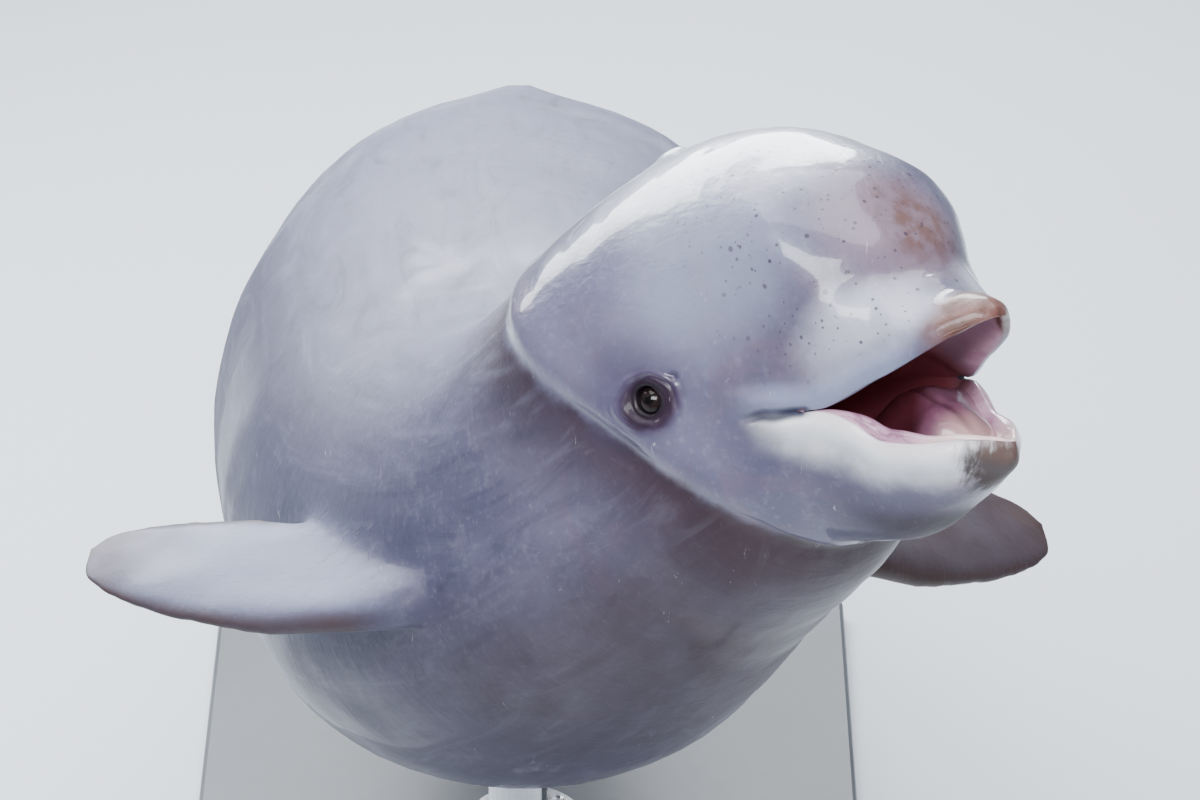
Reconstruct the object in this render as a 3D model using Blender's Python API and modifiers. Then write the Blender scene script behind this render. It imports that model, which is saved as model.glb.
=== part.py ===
"""A life-size beluga whale, mouth open and head turned to its left, on a plain display stand.

Metres, +Z up, +X the way the body swims, origin under the middle of the whole. The animal is
drawn straight first: `back` runs from the snout to the tail, y to its left and z up. The jaw is
then opened about its hinge, and the spine carries every section to its place in the pose.
"""

import math

import bmesh
import bpy
import numpy as np
from mathutils import Euler, Matrix, Vector

# Gap left between nodes that meet
GAP = 0.0003
HALF_GAP = GAP / 2

# The straight animal, by distance back from the tip of the snout
HALF_WIDTH = {
    0.0: 0.0, 0.003: 0.010, 0.01: 0.0175, 0.03: 0.037, 0.06: 0.056, 0.10: 0.068, 0.178: 0.0993,
    0.226: 0.121, 0.30: 0.149, 0.40: 0.174, 0.50: 0.190, 0.63: 0.220, 0.85: 0.268, 1.15: 0.313,
    1.50: 0.336, 1.90: 0.316, 2.30: 0.256, 2.60: 0.190, 2.90: 0.128, 3.15: 0.080, 3.42: 0.036,
}
TOP = {
    0.0: 0.007, 0.003: 0.0175, 0.01: 0.028, 0.025: 0.038, 0.05: 0.050, 0.062: 0.074, 0.075: 0.1155,
    0.10: 0.182, 0.14: 0.226, 0.20: 0.271, 0.26: 0.292, 0.34: 0.292, 0.42: 0.272, 0.52: 0.252,
    0.85: 0.250, 1.15: 0.270, 1.50: 0.286, 1.90: 0.282, 2.30: 0.246, 2.60: 0.202, 2.90: 0.150,
    3.15: 0.102, 3.42: 0.034,
}
BOTTOM = {
    0.0: -0.009, 0.003: -0.020, 0.01: -0.031, 0.03: -0.046, 0.07: -0.072, 0.13: -0.108,
    0.20: -0.120, 0.30: -0.132, 0.40: -0.142, 0.50: -0.157, 0.63: -0.188, 0.85: -0.240,
    1.15: -0.288, 1.50: -0.320, 1.90: -0.303, 2.30: -0.238, 2.60: -0.180, 2.90: -0.133,
    3.15: -0.095, 3.42: -0.034,
}
# The height of the widest line, which is the line of the mouth in front
RAIL = {
    0.0: 0.0, 0.03: 0.003, 0.06: -0.003, 0.10: -0.005, 0.14: 0.003, 0.178: 0.007, 0.226: 0.018,
    0.30: 0.036, 0.42: 0.036, 0.63: 0.010, 1.0: 0.0, 3.42: 0.0,
}
UPPER_POWER = {0.0: 2.0, 0.10: 2.3, 0.30: 2.25, 0.60: 2.1, 2.0: 2.0, 3.42: 1.85}
LOWER_POWER = {0.0: 2.0, 0.10: 2.3, 0.30: 2.3, 0.60: 2.15, 2.0: 2.1, 3.42: 1.85}
# How far the melon swells out over the lips, at mid height
MELON_SWELL = {
    0.0: 0.0, 0.04: 0.0, 0.08: 0.014, 0.13: 0.051, 0.19: 0.040, 0.27: 0.016, 0.38: 0.0, 3.42: 0.0,
}
SWELL_POWER = 1.3

# The mouth
LIPS_PART = 0.178
CHIN_SET_BACK = 0.011
HINGE_BACK, HINGE_UP = 0.215, 0.008
GAPE = math.radians(30.0)
LIP_HOLD = (0.040, 0.115)
JAW_FADE = (math.radians(65.0), math.radians(165.0))
CHEEK_FADE = math.radians(75.0)
THROAT_FADE = (0.235, 0.395)
THROAT_END = 0.33
PALATE_ARCH = {0.0: 0.0, 0.02: 0.016, 0.06: 0.030, 0.10: 0.038, 0.178: 0.040, 0.25: 0.032, 0.33: 0.012}
FLOOR_DEPTH = {0.0: 0.0, 0.02: 0.010, 0.06: 0.026, 0.10: 0.036, 0.178: 0.044, 0.25: 0.040, 0.33: 0.016}
GULLET_WIDTH = {0.178: 0.103, 0.20: 0.088, 0.25: 0.060, 0.33: 0.022}
LIP_ROLL, LIP_ROLL_ANGLE = 0.006, 0.5
LINING_POWER = 1.2

# The pose: heading to its left, pitch up and roll left side up, by distance back
TURNS = {
    0.38: (49.8, 45.9, -16.7),
    1.18: (2.0, 15.0, 0.0),
    1.50: (0.0, 19.0, 0.0),
    2.60: (0.0, 38.0, 0.0),
    3.50: (2.0, 18.0, 0.0),
}
HEAD_BACK, CHEST_BACK = 0.40, 1.10
CHEST_HEIGHT = 1.20

# The lengths of the body behind the head: first and last distance back, and rings
LENGTHS = {
    "neck": (0.40, 0.56, 6),
    "chest": (0.56, 1.04, 11),
    "torso_front": (1.04, 1.64, 9),
    "torso_rear": (1.64, 2.36, 10),
    "tail_stock": (2.36, 3.42, 14),
}

# How finely the solids are cut
UPPER_STEPS, LOWER_STEPS, MOUTH_STEPS = 24, 16, 16
FRONT_ROWS, CHEEK_ROWS, GULLET_ROWS = 16, 10, 6
BLADE_AROUND = 20

# The tongue, on the middle columns of the floor of the mouth
TONGUE_ROWS = (8, 19)
TONGUE_COLUMNS = (3, 13)
TONGUE_RISE = 0.048
TONGUE_ENDS = (0.2, 0.33)

# The line where the lower jaw is parted from the throat, past the corner of the mouth
JAW_CUT_ANGLE = math.radians(112.0)
JAW_CUT_LENGTH = 0.20
JAW_CUT_REACH = 0.30

# The eyes, by place on the side of the head
EYE_BACK, EYE_UP = 0.311, 0.067
EYE_RADIUS, EYE_DEPTH = 0.0165, 0.012
LID_RADIUS, LID_THICK = 0.0135, 0.0052
LID_SHAPE = (1.14, 0.94, 1.0)

# The blowhole, a crescent slit with its ends forward, and the pinhole of each ear
BLOWHOLE_BACK, BLOWHOLE_RADIUS, BLOWHOLE_THICK = 0.325, 0.030, 0.0045
BLOWHOLE_SPREAD = math.radians(75.0)
EAR_BACK, EAR_UP, EAR_RADIUS = 0.382, 0.050, 0.003

# The flippers: outline along the span, how deep the root ring and the sunk end lie, root place,
# and which way each one reaches
FLIPPER_RINGS = (0.0, 0.025, 0.06, 0.11, 0.165, 0.22, 0.27, 0.32, 0.36, 0.39, 0.404, 0.4096)
FLIPPER_SUNK = (0.03, 0.13)
FLIPPER_LEAD = {
    0.0: 0.050, 0.06: 0.069, 0.16: 0.080, 0.26: 0.070, 0.33: 0.056, 0.38: 0.038,
    0.403: 0.016, 0.41: -0.010,
}
FLIPPER_TRAIL = {
    0.0: -0.074, 0.06: -0.080, 0.16: -0.089, 0.26: -0.082, 0.33: -0.070, 0.38: -0.053,
    0.403: -0.034, 0.41: -0.010,
}
FLIPPER_THICK = {0.0: 0.058, 0.06: 0.044, 0.20: 0.030, 0.34: 0.018, 0.41: 0.006}
FLIPPER_CURL = 0.030
SUNK_SHRINK, SUNK_SET_BACK = 0.6, 0.06
FLIPPER_BACK, FLIPPER_DOWN = 0.635, math.radians(2.0)
FLIPPER_REACH = {"right": (-0.17, -0.350, -0.12), "left": (-0.23, 0.27, -0.21)}

# The flukes: where the leading and trailing edges lie back, by distance out from the notch
FLUKE_RINGS = (HALF_GAP, 0.02, 0.045, 0.08, 0.13, 0.19, 0.25, 0.31, 0.36, 0.40, 0.42, 0.4295)
FLUKE_LEAD = {
    0.0: 3.22, 0.04: 3.255, 0.10: 3.305, 0.20: 3.365, 0.30: 3.435, 0.38: 3.51, 0.42: 3.565, 0.43: 3.60,
}
FLUKE_TRAIL = {
    0.0: 3.53, 0.03: 3.575, 0.10: 3.62, 0.20: 3.648, 0.30: 3.656, 0.38: 3.648, 0.42: 3.625, 0.43: 3.60,
}
FLUKE_THICK = {0.0: 0.062, 0.08: 0.044, 0.20: 0.026, 0.34: 0.014, 0.43: 0.005}

# The low ridge on the back where a fin would be
RIDGE = {0.0: 0.0, 1.66: 0.0, 1.80: 0.007, 1.95: 0.012, 2.12: 0.008, 2.30: 0.0, 3.42: 0.0}
RIDGE_HALF_WIDTH = 0.045

# The stand
BASE_SIZE = (1.90, 0.90, 0.030)
BASE_BEVEL = 0.006
ROD_RADIUS = 0.030
ROD_BACKS = {"front": 1.20, "rear": 2.10}
ROD_MEETS = {"front": ("chest", "torso_front"), "rear": ("torso_rear", "tail_stock")}
UPRIGHT = Matrix.Identity(3)

# Colours, roughness and metallic share of the finishes
FINISHES = {
    "skin": ((0.60, 0.57, 0.63), 0.35, 0.0),
    "mouth": ((0.46, 0.26, 0.32), 0.30, 0.0),
    "eye": ((0.02, 0.015, 0.02), 0.05, 0.0),
    "stand_metal": ((0.55, 0.56, 0.58), 0.35, 1.0),
    "stand_base": ((0.12, 0.12, 0.13), 0.45, 0.0),
}


def through(table, x):
    """The smooth curve through a table's points, with no overshoot, read at x."""
    keys = np.sqrt(np.array(list(table), float))
    values = np.array(list(table.values()), float)
    at = np.sqrt(np.clip(np.asarray(x, float), 0.0, list(table)[-1]))
    step = np.diff(keys)
    rise = np.diff(values) / step
    slope = np.concatenate([[rise[0]], np.zeros(len(rise) - 1), [rise[-1]]])
    same = rise[:-1] * rise[1:] > 0
    one, two = 2 * step[1:] + step[:-1], step[1:] + 2 * step[:-1]
    safe_left, safe_right = np.where(same, rise[:-1], 1.0), np.where(same, rise[1:], 1.0)
    slope[1:-1] = np.where(same, (one + two) / (one / safe_left + two / safe_right), 0.0)
    i = np.clip(np.searchsorted(keys, at, side="right") - 1, 0, len(step) - 1)
    h, u = step[i], (at - keys[i]) / step[i]
    return (
        values[i] * (1 + 2 * u) * (1 - u) ** 2
        + slope[i] * h * u * (1 - u) ** 2
        + values[i + 1] * u**2 * (3 - 2 * u)
        - slope[i + 1] * h * u**2 * (1 - u)
    )


def ease(low, high, x):
    """0 up to low, 1 from high, and a smooth step between."""
    u = np.clip((x - low) / (high - low), 0.0, 1.0)
    return u * u * (3 - 2 * u)


def arc_powers(angle, power):
    """The two factors of a superellipse at an angle."""
    c, s = np.cos(angle), np.sin(angle)
    return np.sign(c) * np.abs(c) ** (2 / power), np.abs(s) ** (2 / power)


def upper_arc(back, steps, grow=0.0):
    """The outer skin from the right rail over the top to the left rail, straight."""
    back = np.asarray(back, float)[:, None]
    angle = np.linspace(0.0, math.pi, steps + 1)[None, :]
    across, rise = arc_powers(angle, through(UPPER_POWER, back))
    swell = through(MELON_SWELL, back) * np.sign(across) * np.abs(np.sin(2 * angle)) ** SWELL_POWER
    rail = through(RAIL, back)
    y = -(through(HALF_WIDTH, back) + grow) * across - swell
    z = rail + (through(TOP, back) - rail + grow) * rise
    crest = (angle > 0.5) * (angle < 2.6)
    z = z + through(RIDGE, back) * np.exp(-((y / RIDGE_HALF_WIDTH) ** 2)) * crest
    return np.stack([np.broadcast_to(back, y.shape), y, z], -1)


def lower_arc(back, steps, grow=0.0):
    """The outer skin from the left rail under the belly to the right rail, straight."""
    back = np.asarray(back, float)[:, None]
    angle = np.linspace(0.0, math.pi, steps + 1)[None, :]
    across, drop = arc_powers(angle, through(LOWER_POWER, back))
    rail = through(RAIL, back)
    y = (through(HALF_WIDTH, back) + grow) * across
    z = rail - (rail - through(BOTTOM, back) + grow) * drop
    shift = CHIN_SET_BACK * (1 - ease(0.0, LIPS_PART, back))
    return np.stack([np.broadcast_to(back + shift, y.shape), y, z], -1)


def mouth_arc(back, steps, upper):
    """The lining of the mouth: the palate from left to right, or the floor from right to left."""
    back = np.asarray(back, float)[:, None]
    angle = np.linspace(0.0, math.pi, steps + 1)[None, :]
    gullet = back > LIPS_PART
    throat = through(GULLET_WIDTH, np.maximum(back, LIPS_PART))
    width = np.where(gullet, throat, through(HALF_WIDTH, back))
    sign = 1.0 if upper else -1.0
    height = through(PALATE_ARCH if upper else FLOOR_DEPTH, back)
    roll = LIP_ROLL * ease(0.0, 0.02, back) * (1 - ease(LIPS_PART - 0.07, LIPS_PART - 0.01, back))
    from_edge = np.minimum(angle, math.pi - angle)
    rounding = roll * np.sin(np.clip(from_edge / LIP_ROLL_ANGLE, 0, 1) * math.pi)
    z = through(RAIL, back) + sign * (height * np.sin(angle) ** LINING_POWER - rounding)
    y = sign * width * np.cos(angle)
    shift = 0.0 if upper else CHIN_SET_BACK * (1 - ease(0.0, LIPS_PART, back))
    return np.stack([np.broadcast_to(back + shift, y.shape), y, z], -1)


def open_jaw(points, lower):
    """Turns each point about the hinge by its share of the gape."""
    x, z = points[..., 0] - HINGE_BACK, points[..., 2] - HINGE_UP
    near = 1 - ease(*LIP_HOLD, np.hypot(x, z))
    angle = np.arctan2(-z if lower else z, -x)
    angle = np.where((angle < 0) & (angle > -1.2), 0.0, np.abs(angle))
    if lower:
        share = (1 - 0.5 * near) * (1 - ease(*JAW_FADE, angle))
    else:
        share = 0.5 * near * (1 - ease(0.0, CHEEK_FADE, angle))
    turn = GAPE * share * (1 - ease(*THROAT_FADE, points[..., 0]))
    c, s = np.cos(turn), np.sin(turn)
    opened = points.copy()
    opened[..., 0] = HINGE_BACK + x * c - z * s
    opened[..., 2] = HINGE_UP + z * c + x * s
    return opened


def turn_matrix(heading, pitch, roll):
    """Columns forward, left and up of a body turned this way."""
    turned = Euler([math.radians(a) for a in (roll, -pitch, heading)], "XYZ")
    return turned.to_matrix()


class Spine:
    """Where each distance back lies in the pose, and which way its section faces."""

    def __init__(self):
        self.back = np.arange(-0.05, 3.80, 0.005)
        stops = np.array(list(TURNS))
        turned = [turn_matrix(*turn).to_quaternion() for turn in TURNS.values()]
        frames = []
        for back in self.back:
            i = int(np.clip(np.searchsorted(stops, back) - 1, 0, len(stops) - 2))
            bend = float(ease(stops[i], stops[i + 1], back))
            frames.append(np.array(turned[i].slerp(turned[i + 1], bend).to_matrix()))
        self.frames = np.array(frames)
        forward = self.frames[:, :, 0]
        middle = (forward[1:] + forward[:-1]) / 2
        steps = -middle * np.diff(self.back)[:, None]
        places = np.concatenate([[[0.0, 0.0, 0.0]], np.cumsum(steps, axis=0)])
        chest_row = int(np.searchsorted(self.back, CHEST_BACK))
        self.places = places - places[chest_row] + np.array([0.0, 0.0, CHEST_HEIGHT])

    def carry(self, points):
        """World places of points given straight, as back, left and up."""
        back = points[..., 0]
        place = np.stack([np.interp(back, self.back, self.places[:, k]) for k in range(3)], -1)
        left = np.stack([np.interp(back, self.back, self.frames[:, k, 1]) for k in range(3)], -1)
        up = np.stack([np.interp(back, self.back, self.frames[:, k, 2]) for k in range(3)], -1)
        return place + left * points[..., 1:2] + up * points[..., 2:3]


SPINE = Spine()


class Shell:
    """A mesh put together from grids whose borders share points by name."""

    def __init__(self):
        self.points, self.faces, self.index = [], [], {}

    def point(self, key, place):
        if key not in self.index:
            self.index[key] = len(self.points)
            self.points.append(tuple(place))
        return self.index[key]

    def grid(self, places, key):
        """Quads between rows; key(row, column) names each point."""
        rows, columns = places.shape[:2]
        ids = [[self.point(key(i, j), places[i, j]) for j in range(columns)] for i in range(rows)]
        for i in range(rows - 1):
            for j in range(columns - 1):
                corners = [ids[i][j], ids[i][j + 1], ids[i + 1][j + 1], ids[i + 1][j]]
                corners = [c for n, c in enumerate(corners) if c != corners[n - 1]]
                if len(corners) > 2:
                    self.faces.append(corners)

    def closed_ring(self, keys):
        self.faces.append([self.index[k] for k in keys])


def make_object(name, points, faces, group):
    """A triangulated mesh object with its faces pointing out."""
    mesh = bpy.data.meshes.new(name)
    mesh.from_pydata([tuple(map(float, p)) for p in points], [], faces)
    shaped = bmesh.new()
    shaped.from_mesh(mesh)
    bmesh.ops.triangulate(shaped, faces=shaped.faces[:])
    bmesh.ops.recalc_face_normals(shaped, faces=shaped.faces[:])
    if shaped.calc_volume(signed=True) < 0:
        bmesh.ops.reverse_faces(shaped, faces=shaped.faces[:])
    shaped.to_mesh(mesh)
    shaped.free()
    made = bpy.data.objects.new(name, mesh)
    group.objects.link(made)
    return made


def rings_object(name, rings, group):
    """A closed solid through rings of points, an open ring at each end capped flat."""
    rows, count = rings.shape[:2]
    faces = []
    for i in range(rows - 1):
        for j in range(count):
            a, b = i * count + j, i * count + (j + 1) % count
            faces.append([a, b, b + count, a + count])
    faces.append(list(range(count)))
    faces.append(list(range((rows - 1) * count, rows * count)))
    return make_object(name, rings.reshape(-1, 3), faces, group)


def body_length(name, first, last, rows, group, grow=0.0):
    """One closed length of the body between two distances back."""
    stations = np.linspace(first + HALF_GAP - grow, last - HALF_GAP + grow, rows)
    over = upper_arc(stations, UPPER_STEPS, grow)
    under = lower_arc(stations, LOWER_STEPS, grow)
    rings = SPINE.carry(np.concatenate([over[:, :-1], under[:, :-1]], axis=1))
    return rings_object(name, rings, group)


def front_stations():
    """Distances back along the lips, closer together at the snout."""
    return LIPS_PART * np.linspace(0.0, 1.0, FRONT_ROWS) ** 1.7


def mouth_stations():
    """Distances back along the lining of the mouth, from the snout to the throat."""
    gullet = np.linspace(LIPS_PART, THROAT_END, GULLET_ROWS + 1)[1:]
    return np.concatenate([front_stations(), gullet])


def head_shell(group):
    """The whole head from snout to neck as one closed surface, the open mouth let into it."""
    cheek = np.linspace(LIPS_PART, HEAD_BACK - HALF_GAP, CHEEK_ROWS + 1)[1:]
    corner = FRONT_ROWS - 1
    outer = np.concatenate([front_stations(), cheek])
    inner = mouth_stations()
    shell = Shell()

    def border(kind, side, row):
        upper = kind in ("over", "roof")
        if row == 0:
            return ("snout" if upper else "chin",)
        if row == corner:
            return ("corner", side)
        if row < corner:
            return ("upper lip" if upper else "lower lip", side, row)
        return ("rail" if kind in ("over", "under") else "gullet", side, row)

    def sheet(kind, straight, first_side, last_side):
        places = SPINE.carry(open_jaw(straight, kind in ("under", "floor")))
        last = places.shape[1] - 1

        def key(row, column):
            if row == 0 or column == 0:
                return border(kind, first_side, row)
            return border(kind, last_side, row) if column == last else (kind, row, column)

        shell.grid(places, key)
        row = len(places) - 1
        return [key(row, column) for column in range(last)]

    neck = sheet("over", upper_arc(outer, UPPER_STEPS), "right", "left")
    neck += sheet("under", lower_arc(outer, LOWER_STEPS), "left", "right")
    throat = sheet("roof", mouth_arc(inner, MOUTH_STEPS, True), "left", "right")
    throat += sheet("floor", mouth_arc(inner, MOUTH_STEPS, False), "right", "left")
    shell.closed_ring(neck)
    shell.closed_ring(throat)
    return make_object("head", shell.points, shell.faces, group)


def tongue(group):
    """A rounded tongue on the floor of the mouth, a gap above it."""
    rows = mouth_stations()[TONGUE_ROWS[0]:TONGUE_ROWS[1] + 1]
    first, last = TONGUE_COLUMNS
    floor = open_jaw(mouth_arc(rows, MOUTH_STEPS, False), True)[:, first:last + 1]
    along = np.linspace(0.0, 1.0, len(rows))[:, None]
    across = np.linspace(-1.0, 1.0, floor.shape[1])[None, :]
    ends = np.clip(along / TONGUE_ENDS[0], 0, 1) * np.clip((1 - along) / TONGUE_ENDS[1], 0, 1)
    rise = np.sqrt(np.clip(1 - across**2, 0, 1) * ends)
    low, high = floor.copy(), floor.copy()
    low[..., 2] += 1.5 * GAP
    high[..., 2] += 1.5 * GAP + TONGUE_RISE * rise
    last_row, last_column = floor.shape[0] - 1, floor.shape[1] - 1

    def key(face):
        def name(row, column):
            edge = row in (0, last_row) or column in (0, last_column)
            return ("edge", row, column) if edge else (face, row, column)
        return name

    shell = Shell()
    shell.grid(SPINE.carry(low), key("low"))
    shell.grid(SPINE.carry(high), key("high"))
    return make_object("tongue", shell.points, shell.faces, group)


def blade_rings(spans, lead, trail, thick, curl):
    """Rings of a fin: x towards the leading edge, y out along the span, z up."""
    angle = np.linspace(0.0, 2 * math.pi, BLADE_AROUND + 1)[None, :-1]
    spans = np.asarray(spans, float)[:, None]
    front, rear = through(lead, spans), through(trail, spans)
    x = (front + rear) / 2 + (front - rear) / 2 * np.cos(angle)
    z = through(thick, spans) / 2 * np.sin(angle) * (1 + 0.3 * np.cos(angle))
    z = z + curl * np.clip(spans / spans.max(), 0, 1) ** 2.5
    return np.stack([x, np.broadcast_to(spans, x.shape), z], -1)


def flipper(side, group):
    """One flipper, its root sunk in the chest."""
    rings = blade_rings(FLIPPER_RINGS, FLIPPER_LEAD, FLIPPER_TRAIL, FLIPPER_THICK, FLIPPER_CURL)
    out = Vector(FLIPPER_REACH[side]).normalized()
    lead = Vector((1.0, 0.0, 0.0))
    lead = (lead - lead.dot(out) * out).normalized()
    up = lead.cross(out) if side == "left" else out.cross(lead)
    arc = lower_arc([FLIPPER_BACK], 90)[0]
    column = round(math.degrees(FLIPPER_DOWN) / 2)
    root = SPINE.carry(arc[column if side == "left" else -1 - column][None, :])[0]
    inward = SPINE.carry(np.array([[FLIPPER_BACK + SUNK_SET_BACK, 0.0, 0.0]]))[0] - root
    inward /= np.linalg.norm(inward)
    blade = rings @ np.array([lead, out, up])
    sunk = root + blade[:1] * SUNK_SHRINK + FLIPPER_SUNK[1] * inward
    blade = root + blade + FLIPPER_SUNK[0] * inward
    return rings_object(f"flipper_{side}", np.concatenate([sunk, blade]), group)


def fluke(side, group):
    """One fluke, from the notch out to its tip, its root round the end of the tail stock."""
    sign = 1.0 if side == "left" else -1.0
    lead = {out: -back for out, back in FLUKE_LEAD.items()}
    trail = {out: -back for out, back in FLUKE_TRAIL.items()}
    rings = blade_rings(FLUKE_RINGS, lead, trail, FLUKE_THICK, 0.0)
    straight = np.stack([-rings[..., 0], sign * rings[..., 1], rings[..., 2]], -1)
    return rings_object(f"fluke_{side}", SPINE.carry(straight), group)


def side_place(back, up, side):
    """World point on the side of the head, with the axes out of the skin, forward and up there."""
    arc = upper_arc([back - 0.01, back, back + 0.01], 360)
    half = arc[:, :181] if side == "right" else arc[:, :179:-1]
    column = int(np.argmin(np.abs(half[1, :, 2] - up)))
    here = SPINE.carry(half[1:2, column])[0]
    ahead = SPINE.carry(half[0:1, column])[0] - SPINE.carry(half[2:3, column])[0]
    above = SPINE.carry(half[1:2, column + 3])[0] - SPINE.carry(half[1:2, column - 3])[0]
    ahead, above = Vector(ahead).normalized(), Vector(above).normalized()
    out = (above.cross(ahead) if side == "left" else ahead.cross(above)).normalized()
    return Vector(here), out, ahead, out.cross(ahead)


def placed(made, name, place, axes, group):
    """Names a primitive, puts it at a place with its x, y and z along the axes, and applies that."""
    turned = Matrix([axes[0], axes[1], axes[2]]).transposed().to_4x4()
    made.name = name
    made.data.transform(Matrix.Translation(place) @ turned)
    for old in list(made.users_collection):
        old.objects.unlink(made)
    group.objects.link(made)
    return made


def ball(name, radius, place, axes, group, sides=20):
    bpy.ops.mesh.primitive_uv_sphere_add(segments=sides, ring_count=sides * 3 // 5, radius=radius)
    return placed(bpy.context.object, name, place, axes, group)


def tube(name, route, radius, group, sides=8):
    """A closed round bar through a route of points that bends in one plane."""
    route = [Vector(p) for p in route]
    plane = (route[1] - route[0]).cross(route[-1] - route[0]).normalized()
    rings = []
    for i, point in enumerate(route):
        along = (route[min(i + 1, len(route) - 1)] - route[max(i - 1, 0)]).normalized()
        across = plane.cross(along)
        turns = [2 * math.pi * k / sides for k in range(sides)]
        rings.append([point + radius * (math.cos(a) * plane + math.sin(a) * across) for a in turns])
    return rings_object(name, np.array(rings), group)


def boolean(target, tool, operation, solver="EXACT"):
    """Applies one Boolean and removes the tool."""
    step = target.modifiers.new(operation.lower(), "BOOLEAN")
    step.operation, step.object, step.solver = operation, tool, solver
    bpy.context.view_layer.update()
    graph = bpy.context.evaluated_depsgraph_get()
    result = bpy.data.meshes.new_from_object(target.evaluated_get(graph))
    target.modifiers.clear()
    target.data = result
    bpy.data.objects.remove(tool, do_unlink=True)


def pieces_of(made):
    """The mesh's separate surfaces, largest first, as bmesh copies."""
    whole = bmesh.new()
    whole.from_mesh(made.data)
    bmesh.ops.remove_doubles(whole, verts=whole.verts[:], dist=1e-6)
    bmesh.ops.triangulate(whole, faces=whole.faces[:])
    left = set(whole.verts)
    found = []
    while left:
        group, edge = set(), [left.pop()]
        while edge:
            point = edge.pop()
            group.add(point)
            for link in point.link_edges:
                other = link.other_vert(point)
                if other in left:
                    left.discard(other)
                    edge.append(other)
        index = {v: i for i, v in enumerate(group)}
        faces = [[index[v] for v in f.verts] for f in whole.faces if f.verts[0] in group]
        found.append(([tuple(v.co) for v in index], faces))
    whole.free()
    return sorted(found, key=lambda piece: -len(piece[1]))


def keep_largest(made):
    points, faces = pieces_of(made)[0]
    name, group = made.name, made.users_collection[0]
    bpy.data.objects.remove(made, do_unlink=True)
    return make_object(name, points, faces, group)


def jaw_cutter(group):
    """A sheet one gap thick that parts the lower jaw: along the line of the mouth, then down."""
    lips = np.linspace(-0.10, HINGE_BACK, 16)
    rail = np.where(lips < 0, 0.0, through(RAIL, lips))
    x, z = lips - HINGE_BACK, rail - HINGE_UP
    z[-1] = 0.0
    c, s = math.cos(GAPE / 2), math.sin(GAPE / 2)
    line = np.stack([HINGE_BACK + x * c - z * s, HINGE_UP + z * c + x * s], -1)
    down = np.array([-math.cos(JAW_CUT_ANGLE), -math.sin(JAW_CUT_ANGLE)])
    line = np.concatenate([line, [line[-1] + JAW_CUT_LENGTH * down]])
    ahead = np.gradient(line, axis=0)
    normal = np.stack([-ahead[:, 1], ahead[:, 0]], -1)
    normal /= np.linalg.norm(normal, axis=1)[:, None]
    outline = np.concatenate([line + normal * HALF_GAP, (line - normal * HALF_GAP)[::-1]])
    rings = []
    for y in (-JAW_CUT_REACH, JAW_CUT_REACH):
        rings.append(np.stack([outline[:, 0], np.full(len(outline), y), outline[:, 1]], -1))
    return rings_object("jaw_cutter", SPINE.carry(np.array(rings)), group)


def part_jaw(head, group, cutters):
    """Parts the lower jaw from the head with the thin sheet."""
    boolean(head, jaw_cutter(cutters), "DIFFERENCE", "MANIFOLD")
    both = pieces_of(head)[:2]
    both.sort(key=lambda piece: -max(p[2] for p in piece[0]))
    bpy.data.objects.remove(head, do_unlink=True)
    return make_object("head", *both[0], group), make_object("lower_jaw", *both[1], group)


def fit_eyes(head, group, cutters):
    """Raises the lids, cuts the sockets and sets an eyeball in each."""
    for side in ("right", "left"):
        place, out, ahead, above = side_place(EYE_BACK, EYE_UP, side)
        axes = (ahead, above, ahead.cross(above))
        bpy.ops.mesh.primitive_torus_add(
            major_radius=LID_RADIUS, minor_radius=LID_THICK, major_segments=24, minor_segments=8
        )
        lids = bpy.context.object
        lids.data.transform(Matrix.Diagonal((*LID_SHAPE, 1.0)))
        lids = placed(lids, "lids", place, axes, cutters)
        boolean(head, lids, "UNION")
        centre = place - out * EYE_DEPTH
        boolean(head, ball("socket", EYE_RADIUS + GAP, centre, axes, cutters), "DIFFERENCE")
        ball(f"eye_{side}", EYE_RADIUS, centre, axes, group)


def cut_blowhole(head, cutters):
    turns = np.linspace(-BLOWHOLE_SPREAD, BLOWHOLE_SPREAD, 13)
    back = BLOWHOLE_BACK - BLOWHOLE_RADIUS + BLOWHOLE_RADIUS * np.cos(turns)
    side = BLOWHOLE_RADIUS * np.sin(turns)
    route = np.stack([back, side, through(TOP, back) - 0.002 - 0.12 * np.abs(side)], -1)
    boolean(head, tube("blowhole", SPINE.carry(route), BLOWHOLE_THICK, cutters), "DIFFERENCE")


def cut_ears(head, cutters):
    for side in ("right", "left"):
        place, _, ahead, above = side_place(EAR_BACK, EAR_UP, side)
        axes = (ahead, above, ahead.cross(above))
        boolean(head, ball("ear_pit", EAR_RADIUS, place, axes, cutters, sides=8), "DIFFERENCE")


def stand(group, cutters):
    """A flat base and two upright rods cut to the belly."""
    feet = {name: SPINE.carry(np.array([[back, 0.0, 0.0]]))[0] for name, back in ROD_BACKS.items()}
    middle = (feet["front"] + feet["rear"]) / 2
    bpy.ops.mesh.primitive_cube_add(size=1.0)
    bpy.context.object.data.transform(Matrix.Diagonal((*BASE_SIZE, 1.0)))
    middle[2] = BASE_SIZE[2] / 2
    base = placed(bpy.context.object, "stand_base", middle, UPRIGHT, group)
    edge = base.modifiers.new("edge", "BEVEL")
    edge.width, edge.segments = BASE_BEVEL, 2
    for name, foot in feet.items():
        low = BASE_SIZE[2] + GAP
        bpy.ops.mesh.primitive_cylinder_add(vertices=24, radius=ROD_RADIUS, depth=foot[2] - low)
        centre = (foot[0], foot[1], (foot[2] + low) / 2)
        rod = placed(bpy.context.object, f"stand_rod_{name}", centre, UPRIGHT, group)
        for length in ROD_MEETS[name]:
            boolean(rod, body_length("belly", *LENGTHS[length], cutters, grow=GAP), "DIFFERENCE")
        keep_lowest(rod)


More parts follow.
